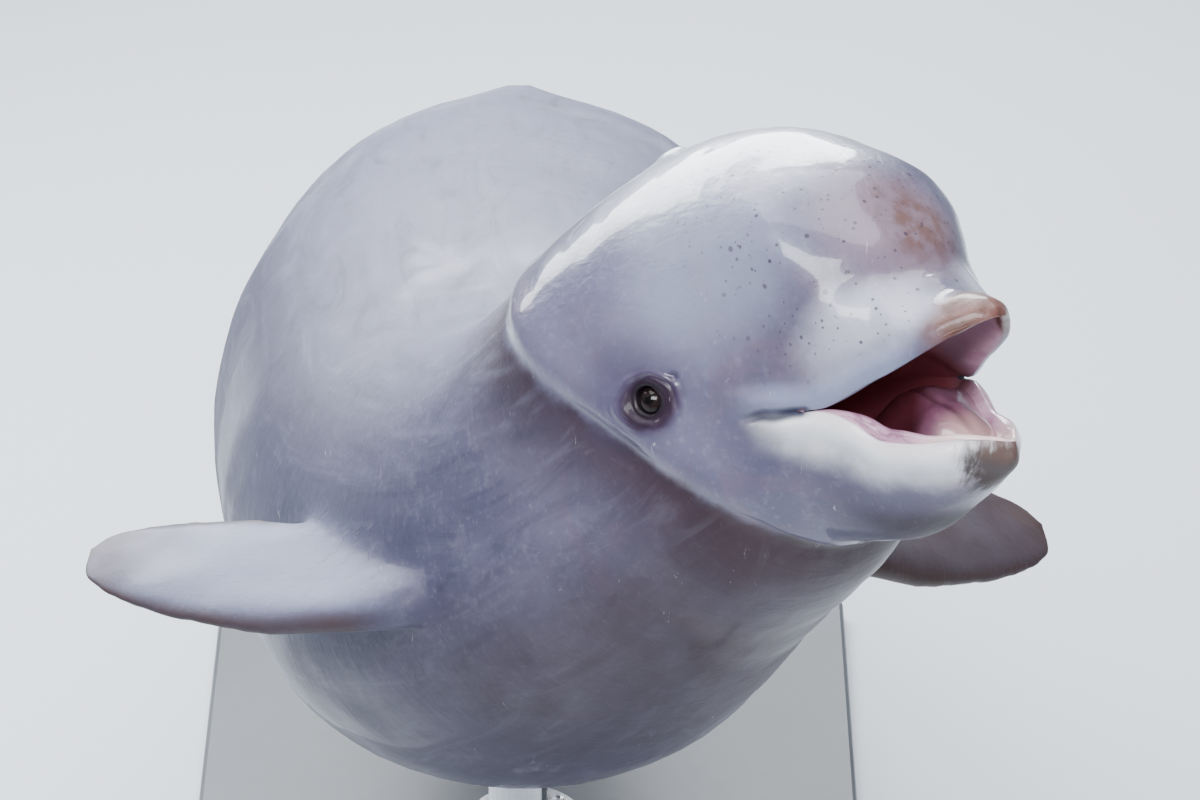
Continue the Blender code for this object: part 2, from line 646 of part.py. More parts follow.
def keep_lowest(made):
    """Keeps the surface that stands lowest."""
    found = pieces_of(made)
    found.sort(key=lambda piece: min(p[2] for p in piece[0]))
    name, group = made.name, made.users_collection[0]
    bpy.data.objects.remove(made, do_unlink=True)
    return make_object(name, *found[0], group)


def clear_scene():
    for item in list(bpy.data.objects):
        bpy.data.objects.remove(item, do_unlink=True)


def new_collection(name, helper=False):
    group = bpy.data.collections.new(name)
    bpy.context.scene.collection.children.link(group)
    group.hide_render = helper
    return group


def finish_of(name):
    if name.startswith("stand_base"):
        return "stand_base"
    if name.startswith("stand_"):
        return "stand_metal"
    if name.startswith("eye_"):
        return "eye"
    return "mouth" if name == "tongue" else "skin"


def paint(made):
    """Each node has a material of its own."""
    colour, roughness, metallic = FINISHES[finish_of(made.name)]
    material = bpy.data.materials.new(made.name)
    material.use_nodes = True
    shader = material.node_tree.nodes["Principled BSDF"]
    shader.inputs["Base Color"].default_value = (*colour, 1.0)
    shader.inputs["Roughness"].default_value = roughness
    shader.inputs["Metallic"].default_value = metallic
    made.data.materials.clear()
    made.data.materials.append(material)
    made.data.shade_smooth()
    made.data.set_sharp_from_angle(angle=math.radians(50.0))


def main():
    clear_scene()
    beluga = new_collection("beluga")
    cutters = new_collection("cutters", helper=True)
    head, jaw = part_jaw(head_shell(beluga), beluga, cutters)
    fit_eyes(head, beluga, cutters)
    cut_blowhole(head, cutters)
    cut_ears(head, cutters)
    keep_largest(head)
    tongue(beluga)
    for name, (first, last, rows) in LENGTHS.items():
        body_length(name, first, last, rows, beluga)
    for side in ("right", "left"):
        fin = flipper(side, beluga)
        for name in ("neck", "chest", "torso_front"):
            boolean(fin, body_length("flesh", *LENGTHS[name], cutters, grow=GAP), "DIFFERENCE")
        keep_largest(fin)
        tail_fin = fluke(side, beluga)
        boolean(tail_fin, body_length("flesh", *LENGTHS["tail_stock"], cutters, grow=GAP), "DIFFERENCE")
        keep_largest(tail_fin)
    stand(beluga, cutters)
    bpy.context.view_layer.update()
    corners = np.array([o.matrix_world @ Vector(c) for o in beluga.objects for c in o.bound_box])
    middle = (corners.min(axis=0) + corners.max(axis=0)) / 2
    whole = bpy.data.objects.new("whole", None)
    beluga.objects.link(whole)
    whole.location = (-middle[0], -middle[1], 0.0)
    for made in list(beluga.objects):
        if made.type == "MESH":
            made.parent = whole
            paint(made)


main()
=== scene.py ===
"""Skin, mouth, eyes and stand finishes of a life-size beluga whale model.

The animal is drawn straight first, by distance back from the snout, y to its left and z up, so
folds and markings have places of their own. The jaw is then opened and the spine bends it all
into the pose.
"""

import math

import bmesh
import bpy
import numpy as np
from mathutils import Euler, Matrix, Vector, noise
from mathutils.kdtree import KDTree


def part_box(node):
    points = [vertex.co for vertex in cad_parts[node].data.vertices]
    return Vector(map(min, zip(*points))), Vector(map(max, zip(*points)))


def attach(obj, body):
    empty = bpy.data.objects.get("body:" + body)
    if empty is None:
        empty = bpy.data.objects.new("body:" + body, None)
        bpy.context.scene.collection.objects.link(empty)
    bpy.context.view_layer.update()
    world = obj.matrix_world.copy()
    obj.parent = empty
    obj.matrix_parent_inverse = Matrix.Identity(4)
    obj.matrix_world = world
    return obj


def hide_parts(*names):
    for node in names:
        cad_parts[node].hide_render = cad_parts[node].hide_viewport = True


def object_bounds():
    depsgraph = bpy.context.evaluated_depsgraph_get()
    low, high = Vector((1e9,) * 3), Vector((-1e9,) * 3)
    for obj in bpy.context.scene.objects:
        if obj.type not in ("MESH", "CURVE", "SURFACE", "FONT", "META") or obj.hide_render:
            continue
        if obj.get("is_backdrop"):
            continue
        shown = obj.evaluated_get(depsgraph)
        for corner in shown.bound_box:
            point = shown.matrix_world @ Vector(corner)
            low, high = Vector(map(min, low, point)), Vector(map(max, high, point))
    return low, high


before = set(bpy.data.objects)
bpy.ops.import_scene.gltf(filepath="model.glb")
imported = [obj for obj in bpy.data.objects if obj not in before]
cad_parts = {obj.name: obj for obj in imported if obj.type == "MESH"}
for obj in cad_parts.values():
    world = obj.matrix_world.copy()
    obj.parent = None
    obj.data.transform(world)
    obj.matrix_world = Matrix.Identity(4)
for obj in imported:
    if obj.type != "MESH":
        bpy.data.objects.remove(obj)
cad_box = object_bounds()

# ---------------------------------------------------------------- sizes of the straight animal
HALF_WIDTH = {
    0.0: 0.0, 0.003: 0.010, 0.01: 0.0175, 0.03: 0.037, 0.06: 0.056, 0.10: 0.068, 0.178: 0.0993,
    0.226: 0.121, 0.30: 0.149, 0.40: 0.174, 0.50: 0.190, 0.63: 0.220, 0.85: 0.268, 1.15: 0.313,
    1.50: 0.336, 1.90: 0.316, 2.30: 0.256, 2.60: 0.190, 2.90: 0.128, 3.15: 0.080, 3.42: 0.036,
}
TOP = {
    0.0: 0.007, 0.003: 0.0150, 0.01: 0.0235, 0.025: 0.0335, 0.05: 0.0475, 0.062: 0.072, 0.075: 0.1145,
    0.10: 0.182, 0.14: 0.226, 0.20: 0.270, 0.26: 0.288, 0.34: 0.292, 0.42: 0.286, 0.52: 0.268,
    0.85: 0.250, 1.15: 0.270, 1.50: 0.286, 1.90: 0.282, 2.30: 0.246, 2.60: 0.202, 2.90: 0.150,
    3.15: 0.102, 3.42: 0.034,
}
BOTTOM = {
    0.0: -0.009, 0.003: -0.020, 0.01: -0.031, 0.03: -0.046, 0.07: -0.072, 0.13: -0.108,
    0.20: -0.120, 0.30: -0.132, 0.40: -0.142, 0.50: -0.157, 0.63: -0.188, 0.85: -0.240,
    1.15: -0.288, 1.50: -0.320, 1.90: -0.303, 2.30: -0.238, 2.60: -0.180, 2.90: -0.133,
    3.15: -0.095, 3.42: -0.034,
}
RAIL = {
    0.0: 0.0, 0.03: 0.003, 0.06: -0.003, 0.10: -0.005, 0.14: 0.003, 0.178: 0.007, 0.226: 0.018,
    0.30: 0.036, 0.42: 0.036, 0.63: 0.010, 1.0: 0.0, 3.42: 0.0,
}
UPPER_POWER = {0.0: 2.0, 0.10: 2.3, 0.30: 2.25, 0.60: 2.1, 2.0: 2.0, 3.42: 1.85}
LOWER_POWER = {0.0: 2.0, 0.10: 2.3, 0.30: 2.3, 0.60: 2.15, 2.0: 2.1, 3.42: 1.85}
MELON_SWELL = {
    0.0: 0.0, 0.04: 0.0, 0.08: 0.014, 0.13: 0.051, 0.19: 0.040, 0.27: 0.025, 0.34: 0.028, 0.40: 0.034,
    0.50: 0.022, 0.75: 0.0, 3.42: 0.0,
}
SWELL_POWER = 1.3
RIDGE = {0.0: 0.0, 1.66: 0.0, 1.80: 0.007, 1.95: 0.012, 2.12: 0.008, 2.30: 0.0, 3.42: 0.0}
RIDGE_HALF_WIDTH = 0.045
TAIL_END = 3.42
TAIL_TIP = 3.50

# Mouth and jaw
LIPS_PART = 0.178
CHIN_SET_BACK = 0.011
HINGE_BACK, HINGE_UP = 0.215, 0.008
GAPE = math.radians(30.0)
LIP_HOLD = (0.040, 0.115)
JAW_FADE = (math.radians(65.0), math.radians(165.0))
CHEEK_FADE = math.radians(75.0)
THROAT_FADE = (0.235, 0.395)
THROAT_END = 0.33
PALATE_ARCH = {0.0: 0.0, 0.02: 0.016, 0.06: 0.030, 0.10: 0.038, 0.178: 0.040, 0.25: 0.032, 0.33: 0.012}
FLOOR_DEPTH = {0.0: 0.0, 0.02: 0.007, 0.06: 0.020, 0.10: 0.032, 0.178: 0.044, 0.25: 0.040, 0.33: 0.016}
GULLET_WIDTH = {0.178: 0.103, 0.20: 0.088, 0.25: 0.060, 0.33: 0.022}
LINING_POWER = 2.1
# How far the inner edge of each lip swells past the line where the lips meet
UPPER_SWELL = {0.0: 0.0, 0.01: 0.003, 0.05: 0.005, 0.12: 0.004, 0.178: 0.0}
RIGHT_LOWER_SWELL = {
    0.0: 0.0, 0.01: 0.005, 0.03: 0.0055, 0.06: 0.0105, 0.09: 0.0160, 0.115: 0.0165, 0.14: 0.0095,
    0.16: 0.005, 0.178: 0.0,
}
LEFT_LOWER_SWELL = {
    0.0: 0.0, 0.01: 0.002, 0.03: 0.002, 0.08: 0.004, 0.12: 0.004, 0.16: 0.002, 0.178: 0.0,
}
LIP_CREST = 0.0095

# Pose: heading to its left, pitch up and roll left side up, by distance back
TURNS = {
    0.38: (49.8, 45.9, -16.7),
    1.18: (2.0, 15.0, 0.0),
    1.50: (0.0, 19.0, 0.0),
    2.60: (0.0, 38.0, 0.0),
    3.50: (2.0, 18.0, 0.0),
}
CHEST_BACK, CHEST_HEIGHT = 1.10, 1.20
ROD_BACKS = {"front": 1.20, "rear": 2.10}

# Fins
FLIPPER_SPAN = 0.4096
FLIPPER_LEAD = {
    0.0: 0.050, 0.06: 0.069, 0.16: 0.080, 0.26: 0.070, 0.33: 0.056, 0.38: 0.038, 0.403: 0.016,
    0.41: -0.010,
}
FLIPPER_TRAIL = {
    0.0: -0.048, 0.06: -0.063, 0.16: -0.083, 0.26: -0.082, 0.33: -0.070, 0.38: -0.053,
    0.403: -0.034, 0.41: -0.010,
}
FLIPPER_THICK = {0.0: 0.058, 0.06: 0.044, 0.20: 0.030, 0.34: 0.018, 0.41: 0.006}
FLIPPER_CURL = 0.030
FLIPPER_SUNK = (0.03, 0.13)
SUNK_SHRINK, SUNK_SET_BACK = 0.6, 0.06
FLIPPER_BACK, FLIPPER_DOWN = 0.635, math.radians(2.0)
FLIPPER_REACH = {"right": (-0.17, -0.350, -0.12), "left": (-0.23, 0.27, -0.21)}
FLUKE_SPAN = 0.4295
FLUKE_LEAD = {
    0.0: 3.22, 0.04: 3.255, 0.10: 3.305, 0.20: 3.365, 0.30: 3.435, 0.38: 3.51, 0.42: 3.565,
    0.43: 3.60,
}
FLUKE_TRAIL = {
    0.0: 3.53, 0.03: 3.575, 0.10: 3.62, 0.20: 3.648, 0.30: 3.656, 0.38: 3.648, 0.42: 3.625,
    0.43: 3.60,
}
FLUKE_THICK = {0.0: 0.062, 0.08: 0.044, 0.20: 0.026, 0.34: 0.014, 0.43: 0.005}
ROOT_REACH, SAME_PLACE = 0.035, 1e-5

# Places on the head, straight: distance back, distance out to either side, height
EYE = np.array([0.311, 0.1523, 0.067])
EYE_RADIUS = 0.0165
LIDS_BACK, LIDS_UP = 0.3095, 0.0685
EYE_PATCH_BACK, EYE_PATCH_UP = 0.3085, 0.0655
EYE_PATCH_TILT = math.radians(27.0)
EYE_PATCH_LENGTH, EYE_PATCH_HEIGHT = 0.0275, 0.0225
TEAR_PIT = np.array([0.277, 0.1428, 0.0775])
EAR = np.array([0.382, 0.167, 0.050])
MOUTH_CORNER = np.array([0.205, 0.113, 0.012])
BLOWHOLE_BACK, BLOWHOLE_RADIUS, BLOWHOLE_SPREAD = 0.325, 0.030, math.radians(75.0)
MELON_CREASE = [
    (0.064, 0.0, 0.079), (0.066, 0.024, 0.080), (0.070, 0.042, 0.083), (0.078, 0.060, 0.085),
    (0.094, 0.079, 0.082), (0.108, 0.091, 0.082), (0.125, 0.102, 0.083), (0.143, 0.108, 0.092),
]
CHEEK_VALLEY = [
    (0.135, 0.108, 0.100), (0.159, 0.114, 0.104), (0.195, 0.121, 0.096), (0.228, 0.128, 0.085),
    (0.252, 0.134, 0.072), (0.266, 0.138, 0.055), (0.268, 0.138, 0.031),
]
PAD_EDGE = [
    (0.185, 0.115, 0.082), (0.200, 0.118, 0.070), (0.216, 0.121, 0.054), (0.228, 0.123, 0.038),
    (0.238, 0.126, 0.021), (0.248, 0.130, 0.006), (0.248, 0.129, -0.008),
]
MOUTH_GROOVE = [
    (0.172, 0.097, 0.007), (0.190, 0.105, 0.007), (0.206, 0.112, 0.008), (0.226, 0.121, 0.012),
    (0.238, 0.125, 0.013),
]
# Rounded swellings and hollows on both sides of the head: place, height and width
SWELLINGS = [
    ((0.060, 0.040, 0.058), -0.0065, 0.022), ((0.076, 0.064, 0.062), -0.0055, 0.018),
    ((0.115, 0.095, 0.048), 0.0055, 0.048), (TEAR_PIT, -0.0026, 0.0045), (EAR, -0.0040, 0.0022),
]
# Wrinkles round each eye: how far out against the eye's dark patch, depth, and where each starts
EYE_WRINKLES = ((1.36, 0.0007, 2.8), (1.56, 0.0006, 3.9), (1.80, 0.0005, 3.3))
NECK_CREASE_BACK, NECK_CREASE_SLANT = 0.325, 0.66
# Folds of the neck: distance back and depth
NECK_FOLDS = ((0.400, 0.0026), (0.458, 0.0032), (0.525, 0.0034), (0.610, 0.0028), (0.71, 0.0026))
NAVEL = (1.69, 0.0, -0.313)
SLIT = (2.30, 2.33, 2.44, 2.48)
RIDGE_SPAN = (1.70, 1.85, 2.15, 2.30)
RIDGE_STEPS_PER_METRE = 210.0

# How finely the skin is cut
LIP_ROWS, CHEEK_ROWS, NECK_ROWS, BODY_ROWS, GULLET_ROWS = 66, 80, 34, 136, 24
OVER_COLUMNS, UNDER_COLUMNS, MOUTH_COLUMNS = 110, 80, 50
NECK_END, HEAD_END = 0.66, 0.40


# ---------------------------------------------------------------- curves and forms
def through(table, x):
    """The smooth curve through a table's points, with no overshoot, read at x."""
    keys = np.sqrt(np.array(list(table), float))
    values = np.array(list(table.values()), float)
    at = np.sqrt(np.clip(np.asarray(x, float), 0.0, list(table)[-1]))
    step = np.diff(keys)
    rise = np.diff(values) / step
    slope = np.concatenate([[rise[0]], np.zeros(len(rise) - 1), [rise[-1]]])
    same = rise[:-1] * rise[1:] > 0
    one, two = 2 * step[1:] + step[:-1], step[1:] + 2 * step[:-1]
    safe_left, safe_right = np.where(same, rise[:-1], 1.0), np.where(same, rise[1:], 1.0)
    slope[1:-1] = np.where(same, (one + two) / (one / safe_left + two / safe_right), 0.0)
    i = np.clip(np.searchsorted(keys, at, side="right") - 1, 0, len(step) - 1)
    h, u = step[i], (at - keys[i]) / step[i]
    return (
        values[i] * (1 + 2 * u) * (1 - u) ** 2
        + slope[i] * h * u * (1 - u) ** 2
        + values[i + 1] * u**2 * (3 - 2 * u)
        - slope[i + 1] * h * u**2 * (1 - u)
    )


def ease(low, high, x):
    """0 up to low, 1 from high, and a smooth step between."""
    u = np.clip((x - low) / (high - low), 0.0, 1.0)
    return u * u * (3 - 2 * u)


def between(start, full, last, end, x):
    """0 outside start and end, 1 from full to last, and smooth steps between."""
    return ease(start, full, x) * (1 - ease(last, end, x))


def bell(x, width):
    return np.exp(-((x / width) ** 2))


def half_turn(count, gather):
    """Angles from 0 to pi, closer together at both ends."""
    u = np.linspace(0.0, 1.0, count + 1)
    return math.pi * (u - gather * np.sin(2 * math.pi * u) / (2 * math.pi))


def arc_powers(angle, power):
    c, s = np.cos(angle), np.sin(angle)
    return np.sign(c) * np.abs(c) ** (2 / power), np.abs(s) ** (2 / power)


def upper_arc(back, angle):
    """The outer skin from the right rail over the top to the left rail, straight."""
    back, angle = np.asarray(back, float)[:, None], angle[None, :]
    across, rise = arc_powers(angle, through(UPPER_POWER, back))
    swell = through(MELON_SWELL, back) * np.sign(across) * np.abs(np.sin(2 * angle)) ** SWELL_POWER
    rail = through(RAIL, back)
    y = -through(HALF_WIDTH, back) * across - swell
    z = rail + (through(TOP, back) - rail) * rise
    z = z + through(RIDGE, back) * bell(y, RIDGE_HALF_WIDTH) * (angle > 0.5) * (angle < 2.6)
    return np.stack([np.broadcast_to(back, y.shape), y, z], -1)


def lower_arc(back, angle):
    """The outer skin from the left rail under the belly to the right rail, straight."""
    back, angle = np.asarray(back, float)[:, None], angle[None, :]
    across, drop = arc_powers(angle, through(LOWER_POWER, back))
    rail = through(RAIL, back)
    y = through(HALF_WIDTH, back) * across
    z = rail - (rail - through(BOTTOM, back)) * drop
    shift = CHIN_SET_BACK * (1 - ease(0.0, LIPS_PART, back))
    return np.stack([np.broadcast_to(back + shift, y.shape), y, z], -1)


def mouth_arc(back, angle, upper):
    """The lining of the mouth: the palate from left to right, or the floor from right to left."""
    back, angle = np.asarray(back, float)[:, None], angle[None, :]
    gullet_width = through(GULLET_WIDTH, np.maximum(back, LIPS_PART))
    width = np.where(back > LIPS_PART, gullet_width, through(HALF_WIDTH, back))
    sign = 1.0 if upper else -1.0
    height = through(PALATE_ARCH if upper else FLOOR_DEPTH, back)
    from_edge = width * (1 - np.abs(np.cos(angle)))
    crest = np.minimum(LIP_CREST, 0.4 * width) + 1e-6
    outside = np.sqrt(np.clip(1 - (1 - from_edge / crest) ** 2, 0.0, 1.0))
    bulge = np.where(from_edge < crest, outside, 1 - ease(crest, 3.4 * crest, from_edge))
    swell = through(UPPER_SWELL, back)
    if not upper:
        toward_right = 0.5 + 0.5 * np.cos(angle)
        left = through(LEFT_LOWER_SWELL, back)
        swell = left + (through(RIGHT_LOWER_SWELL, back) - left) * toward_right
    z = through(RAIL, back) + sign * (height * np.sin(angle) ** LINING_POWER - swell * bulge)
    y = sign * width * np.cos(angle)
    shift = 0.0 if upper else CHIN_SET_BACK * (1 - ease(0.0, LIPS_PART, back))
    return np.stack([np.broadcast_to(back + shift, y.shape), y, z], -1)


def open_jaw(points, lower):
    """Turns each point about the hinge by its share of the gape."""
    x, z = points[..., 0] - HINGE_BACK, points[..., 2] - HINGE_UP
    near = 1 - ease(*LIP_HOLD, np.hypot(x, z))
    angle = np.arctan2(np.where(lower, -z, z), -x)
    angle = np.where((angle < 0) & (angle > -1.2), 0.0, np.abs(angle))
    down = (1 - 0.5 * near) * (1 - ease(*JAW_FADE, angle))
    up = 0.5 * near * (1 - ease(0.0, CHEEK_FADE, angle))
    turn = GAPE * np.where(lower, down, up) * (1 - ease(*THROAT_FADE, points[..., 0]))
    c, s = np.cos(turn), np.sin(turn)
    opened = points.copy()
    opened[..., 0] = HINGE_BACK + x * c - z * s
    opened[..., 2] = HINGE_UP + z * c + x * s
    return opened


class Spine:
    """Where each distance back lies in the pose, and which way its section faces."""

    def __init__(self):
        self.back = np.arange(-0.05, 3.80, 0.005)
        stops = np.array(list(TURNS))
        turned = []
        for heading, pitch, roll in TURNS.values():
            angles = [math.radians(a) for a in (roll, -pitch, heading)]
            turned.append(Euler(angles, "XYZ").to_matrix().to_quaternion())
        frames = []
        for back in self.back:
            i = int(np.clip(np.searchsorted(stops, back) - 1, 0, len(stops) - 2))
            bend = float(ease(stops[i], stops[i + 1], back))
            frames.append(np.array(turned[i].slerp(turned[i + 1], bend).to_matrix()))
        self.frames = np.array(frames)
        forward = self.frames[:, :, 0]
        steps = -(forward[1:] + forward[:-1]) / 2 * np.diff(self.back)[:, None]
        places = np.concatenate([[[0.0, 0.0, 0.0]], np.cumsum(steps, axis=0)])
        chest = int(np.searchsorted(self.back, CHEST_BACK))
        self.places = places - places[chest] + np.array([0.0, 0.0, CHEST_HEIGHT])
        feet = self.carry(np.array([[back, 0.0, 0.0] for back in ROD_BACKS.values()]))
        low, high = (np.array(corner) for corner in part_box("stand_base"))
        shift = (low + high) / 2 - feet.mean(axis=0)
        self.places = self.places + np.array([shift[0], shift[1], 0.0])

    def carry(self, points):
        """World places of points given straight, as back, left and up."""
        back = points[..., 0]
        place = np.stack([np.interp(back, self.back, self.places[:, k]) for k in range(3)], -1)
        left = np.stack([np.interp(back, self.back, self.frames[:, k, 1]) for k in range(3)], -1)
        up = np.stack([np.interp(back, self.back, self.frames[:, k, 2]) for k in range(3)], -1)
        return place + left * points[..., 1:2] + up * points[..., 2:3]


SPINE = Spine()


def from_line(points, line):
    """Distance of each point from a line of points, and how far along the line it is, 0 to 1."""
    line = np.array(line, float)
    lengths = np.linalg.norm(np.diff(line, axis=0), axis=1)
    total = lengths.sum()
    best = np.full(len(points), 1e9)
    along = np.zeros(len(points))
    walked = 0.0
    for a, b, length in zip(line[:-1], line[1:], lengths):
        u = np.clip((points - a) @ (b - a) / length**2, 0.0, 1.0)
        gap = np.linalg.norm(points - (a + u[:, None] * (b - a)), axis=1)
        nearer = gap < best
        best = np.where(nearer, gap, best)
        along = np.where(nearer, (walked + u * length) / total, along)
        walked += length
    return best, along


def lumps(points, scale, seed=0.0):
    """Smooth noise between about -1 and 1 at each point."""
    shifted = np.asarray(points, float) * scale + seed
    return np.array([noise.noise(Vector(p)) for p in shifted.tolist()])


# ---------------------------------------------------------------- meshes
class Shell:
    """A mesh put together from grids whose borders share points by name."""

    def __init__(self):
        self.points, self.kinds, self.faces, self.index = [], [], [], {}

    def point(self, key, place, kind):
        if key not in self.index:
            self.index[key] = len(self.points)
            self.points.append(place)
            self.kinds.append(kind)
        return self.index[key]

    def grid(self, places, key, kind):
        rows, columns = places.shape[:2]
        spots = places.tolist()
        ids = [[self.point(key(i, j), spots[i][j], kind) for j in range(columns)] for i in range(rows)]
        for i in range(rows - 1):
            for j in range(columns - 1):
                corners = [ids[i][j], ids[i][j + 1], ids[i + 1][j + 1], ids[i + 1][j]]
                corners = [c for n, c in enumerate(corners) if c != corners[n - 1]]
                if len(corners) > 2:
                    self.faces.append(corners)
        return ids


def mesh_object(name, points, faces):
    mesh = bpy.data.meshes.new(name)
    mesh.from_pydata([tuple(p) for p in points], [], faces)
    made = bpy.data.objects.new(name, mesh)
    bpy.context.scene.collection.objects.link(made)
    return made


def face_outward(made):
    shaped = bmesh.new()
    shaped.from_mesh(made.data)
    bmesh.ops.recalc_face_normals(shaped, faces=shaped.faces[:])
    if shaped.calc_volume(signed=True) < 0:
        bmesh.ops.reverse_faces(shaped, faces=shaped.faces[:])
    shaped.to_mesh(made.data)
    shaped.free()


def read(items, field, width=1, kind=float):
    """One field of many mesh items as an array, width numbers to a row."""
    flat = np.empty(len(items) * width, kind)
    items.foreach_get(field, flat)
    return flat.reshape(-1, width) if width > 1 else flat


def places_of(mesh):
    return read(mesh.vertices, "co", 3)


def edges_of(mesh):
    return read(mesh.edges, "vertices", 2, np.int32)


def tree_of(places):
    """A search tree of points."""
    tree = KDTree(len(places))
    for i, place in enumerate(places.tolist()):
        tree.insert(place, i)
    tree.balance()
    return tree


def write_places(mesh, places):
    mesh.vertices.foreach_set("co", np.asarray(places, float).ravel())
    mesh.update()


def keep_values(mesh, name, values):
    """Stores a number or a vector for each point of a mesh."""
    values = np.asarray(values, np.float32)
    kind, field = ("FLOAT_VECTOR", "vector") if values.ndim == 2 else ("FLOAT", "value")
    layer = mesh.attributes.get(name) or mesh.attributes.new(name, kind, "POINT")
    layer.data.foreach_set(field, values.ravel())


def kept_values(mesh, name):
    return read(mesh.attributes[name].data, "value")


def kept_vectors(mesh, name):
    return read(mesh.attributes[name].data, "vector", 3)


def straight_skin():
    """The whole skin, straight and with the mouth closed, finer round the eyes and blowhole."""
    shell = Shell()
    corner = LIP_ROWS - 1
    lips = LIPS_PART * np.linspace(0.0, 1.0, LIP_ROWS) ** 1.6
    cheek = np.linspace(LIPS_PART, HEAD_END, CHEEK_ROWS + 1)[1:]
    neck = np.linspace(HEAD_END, NECK_END, NECK_ROWS + 1)[1:]
    outer = np.concatenate([lips, cheek, neck])
    inner = np.concatenate([lips, np.linspace(LIPS_PART, THROAT_END, GULLET_ROWS + 1)[1:]])

    def border(kind, side, row):
        upper = kind in ("over", "roof")
        if row == 0:
            return ("snout" if upper else "chin",)
        if row == corner:
            return ("corner", side)
        if row < corner:
            return ("upper lip" if upper else "lower lip", side, row)
        return ("rail" if kind in ("over", "under") else "gullet", side, row)

    def sheet(kind, places, first_side, last_side):
        last = places.shape[1] - 1

        def key(row, column):
            if row == 0 or column == 0:
                return border(kind, first_side, row)
            return border(kind, last_side, row) if column == last else (kind, row, column)

        mark = (float(kind in ("under", "floor")), float(kind in ("roof", "floor")))
        return shell.grid(places, key, mark)[-1][:-1]

    over_turn, under_turn = half_turn(OVER_COLUMNS, 0.55), half_turn(UNDER_COLUMNS, 0.4)
    mouth_turn = half_turn(MOUTH_COLUMNS, 0.45)
    collar = sheet("over", upper_arc(outer, over_turn), "right", "left")
    collar += sheet("under", lower_arc(outer, under_turn), "left", "right")
    throat = sheet("roof", mouth_arc(inner, mouth_turn, True), "left", "right")
    throat += sheet("floor", mouth_arc(inner, mouth_turn, False), "right", "left")
    shell.faces.append(throat)

    # Behind the neck every second column goes on, down to the end of the tail stock.
    stations = np.linspace(NECK_END, TAIL_END, BODY_ROWS + 1)[1:]
    over = upper_arc(stations, over_turn[::2])[:, :-1]
    under = lower_arc(stations, under_turn[::2])[:, :-1]
    rings = list(np.concatenate([over, under], axis=1))
    middle = rings[-1].mean(axis=0)
    for u in np.linspace(0.0, 1.0, 9)[1:-1]:
        ring = middle + (rings[BODY_ROWS - 1] - middle) * math.sqrt(1 - u * u)
        ring[:, 0] = TAIL_END + (TAIL_TIP - TAIL_END) * u
        rings.append(ring)
    count = len(rings[0])
    ids = []
    for i, ring in enumerate(rings):
        kinds = [(float(j >= OVER_COLUMNS // 2), 0.0) for j in range(count)]
        ids.append([shell.point(("body", i, j), p, kinds[j]) for j, p in enumerate(ring.tolist())])
    for j in range(count):
        k = (j + 1) % count
        a, b, c = collar[2 * j], collar[2 * j + 1], collar[(2 * j + 2) % (2 * count)]
        shell.faces += [[a, b, ids[0][j]], [b, c, ids[0][k]], [b, ids[0][k], ids[0][j]]]
        for i in range(len(rings) - 1):
            shell.faces.append([ids[i][j], ids[i][k], ids[i + 1][k], ids[i + 1][j]])
    shell.faces.append(ids[-1])

    skin = mesh_object("skin", shell.points, shell.faces)
    kinds = np.array(shell.kinds)
    keep_values(skin.data, "lower", kinds[:, 0])
    keep_values(skin.data, "inside", kinds[:, 1])
    face_outward(skin)
    refine(skin.data)
    return skin


def refine(mesh):
    """Splits the faces round the eyes, the corners of the mouth, the ears and the blowhole."""
    blowhole = np.array([BLOWHOLE_BACK - 0.012, 0.0, float(through(TOP, BLOWHOLE_BACK))])
    shaped = bmesh.new()
    shaped.from_mesh(mesh)
    for centre, radius in (
        (EYE, 0.046), (EYE, 0.027), (EYE, 0.0165), (TEAR_PIT, 0.010), (blowhole, 0.058),
        (blowhole, 0.046), (MOUTH_CORNER, 0.050), (EAR, 0.018), (EAR, 0.010), (EAR, 0.006),
    ):
        near = set()
        for point in shaped.verts:
            x, y, z = point.co
            if math.dist((x, abs(y), z), centre) < radius:
                near.add(point)
        edges = [e for e in shaped.edges if near.issuperset(e.verts)]
        bmesh.ops.subdivide_edges(shaped, edges=edges, cuts=1, use_grid_fill=True)
    shaped.to_mesh(mesh)
    shaped.free()
    mesh.update()


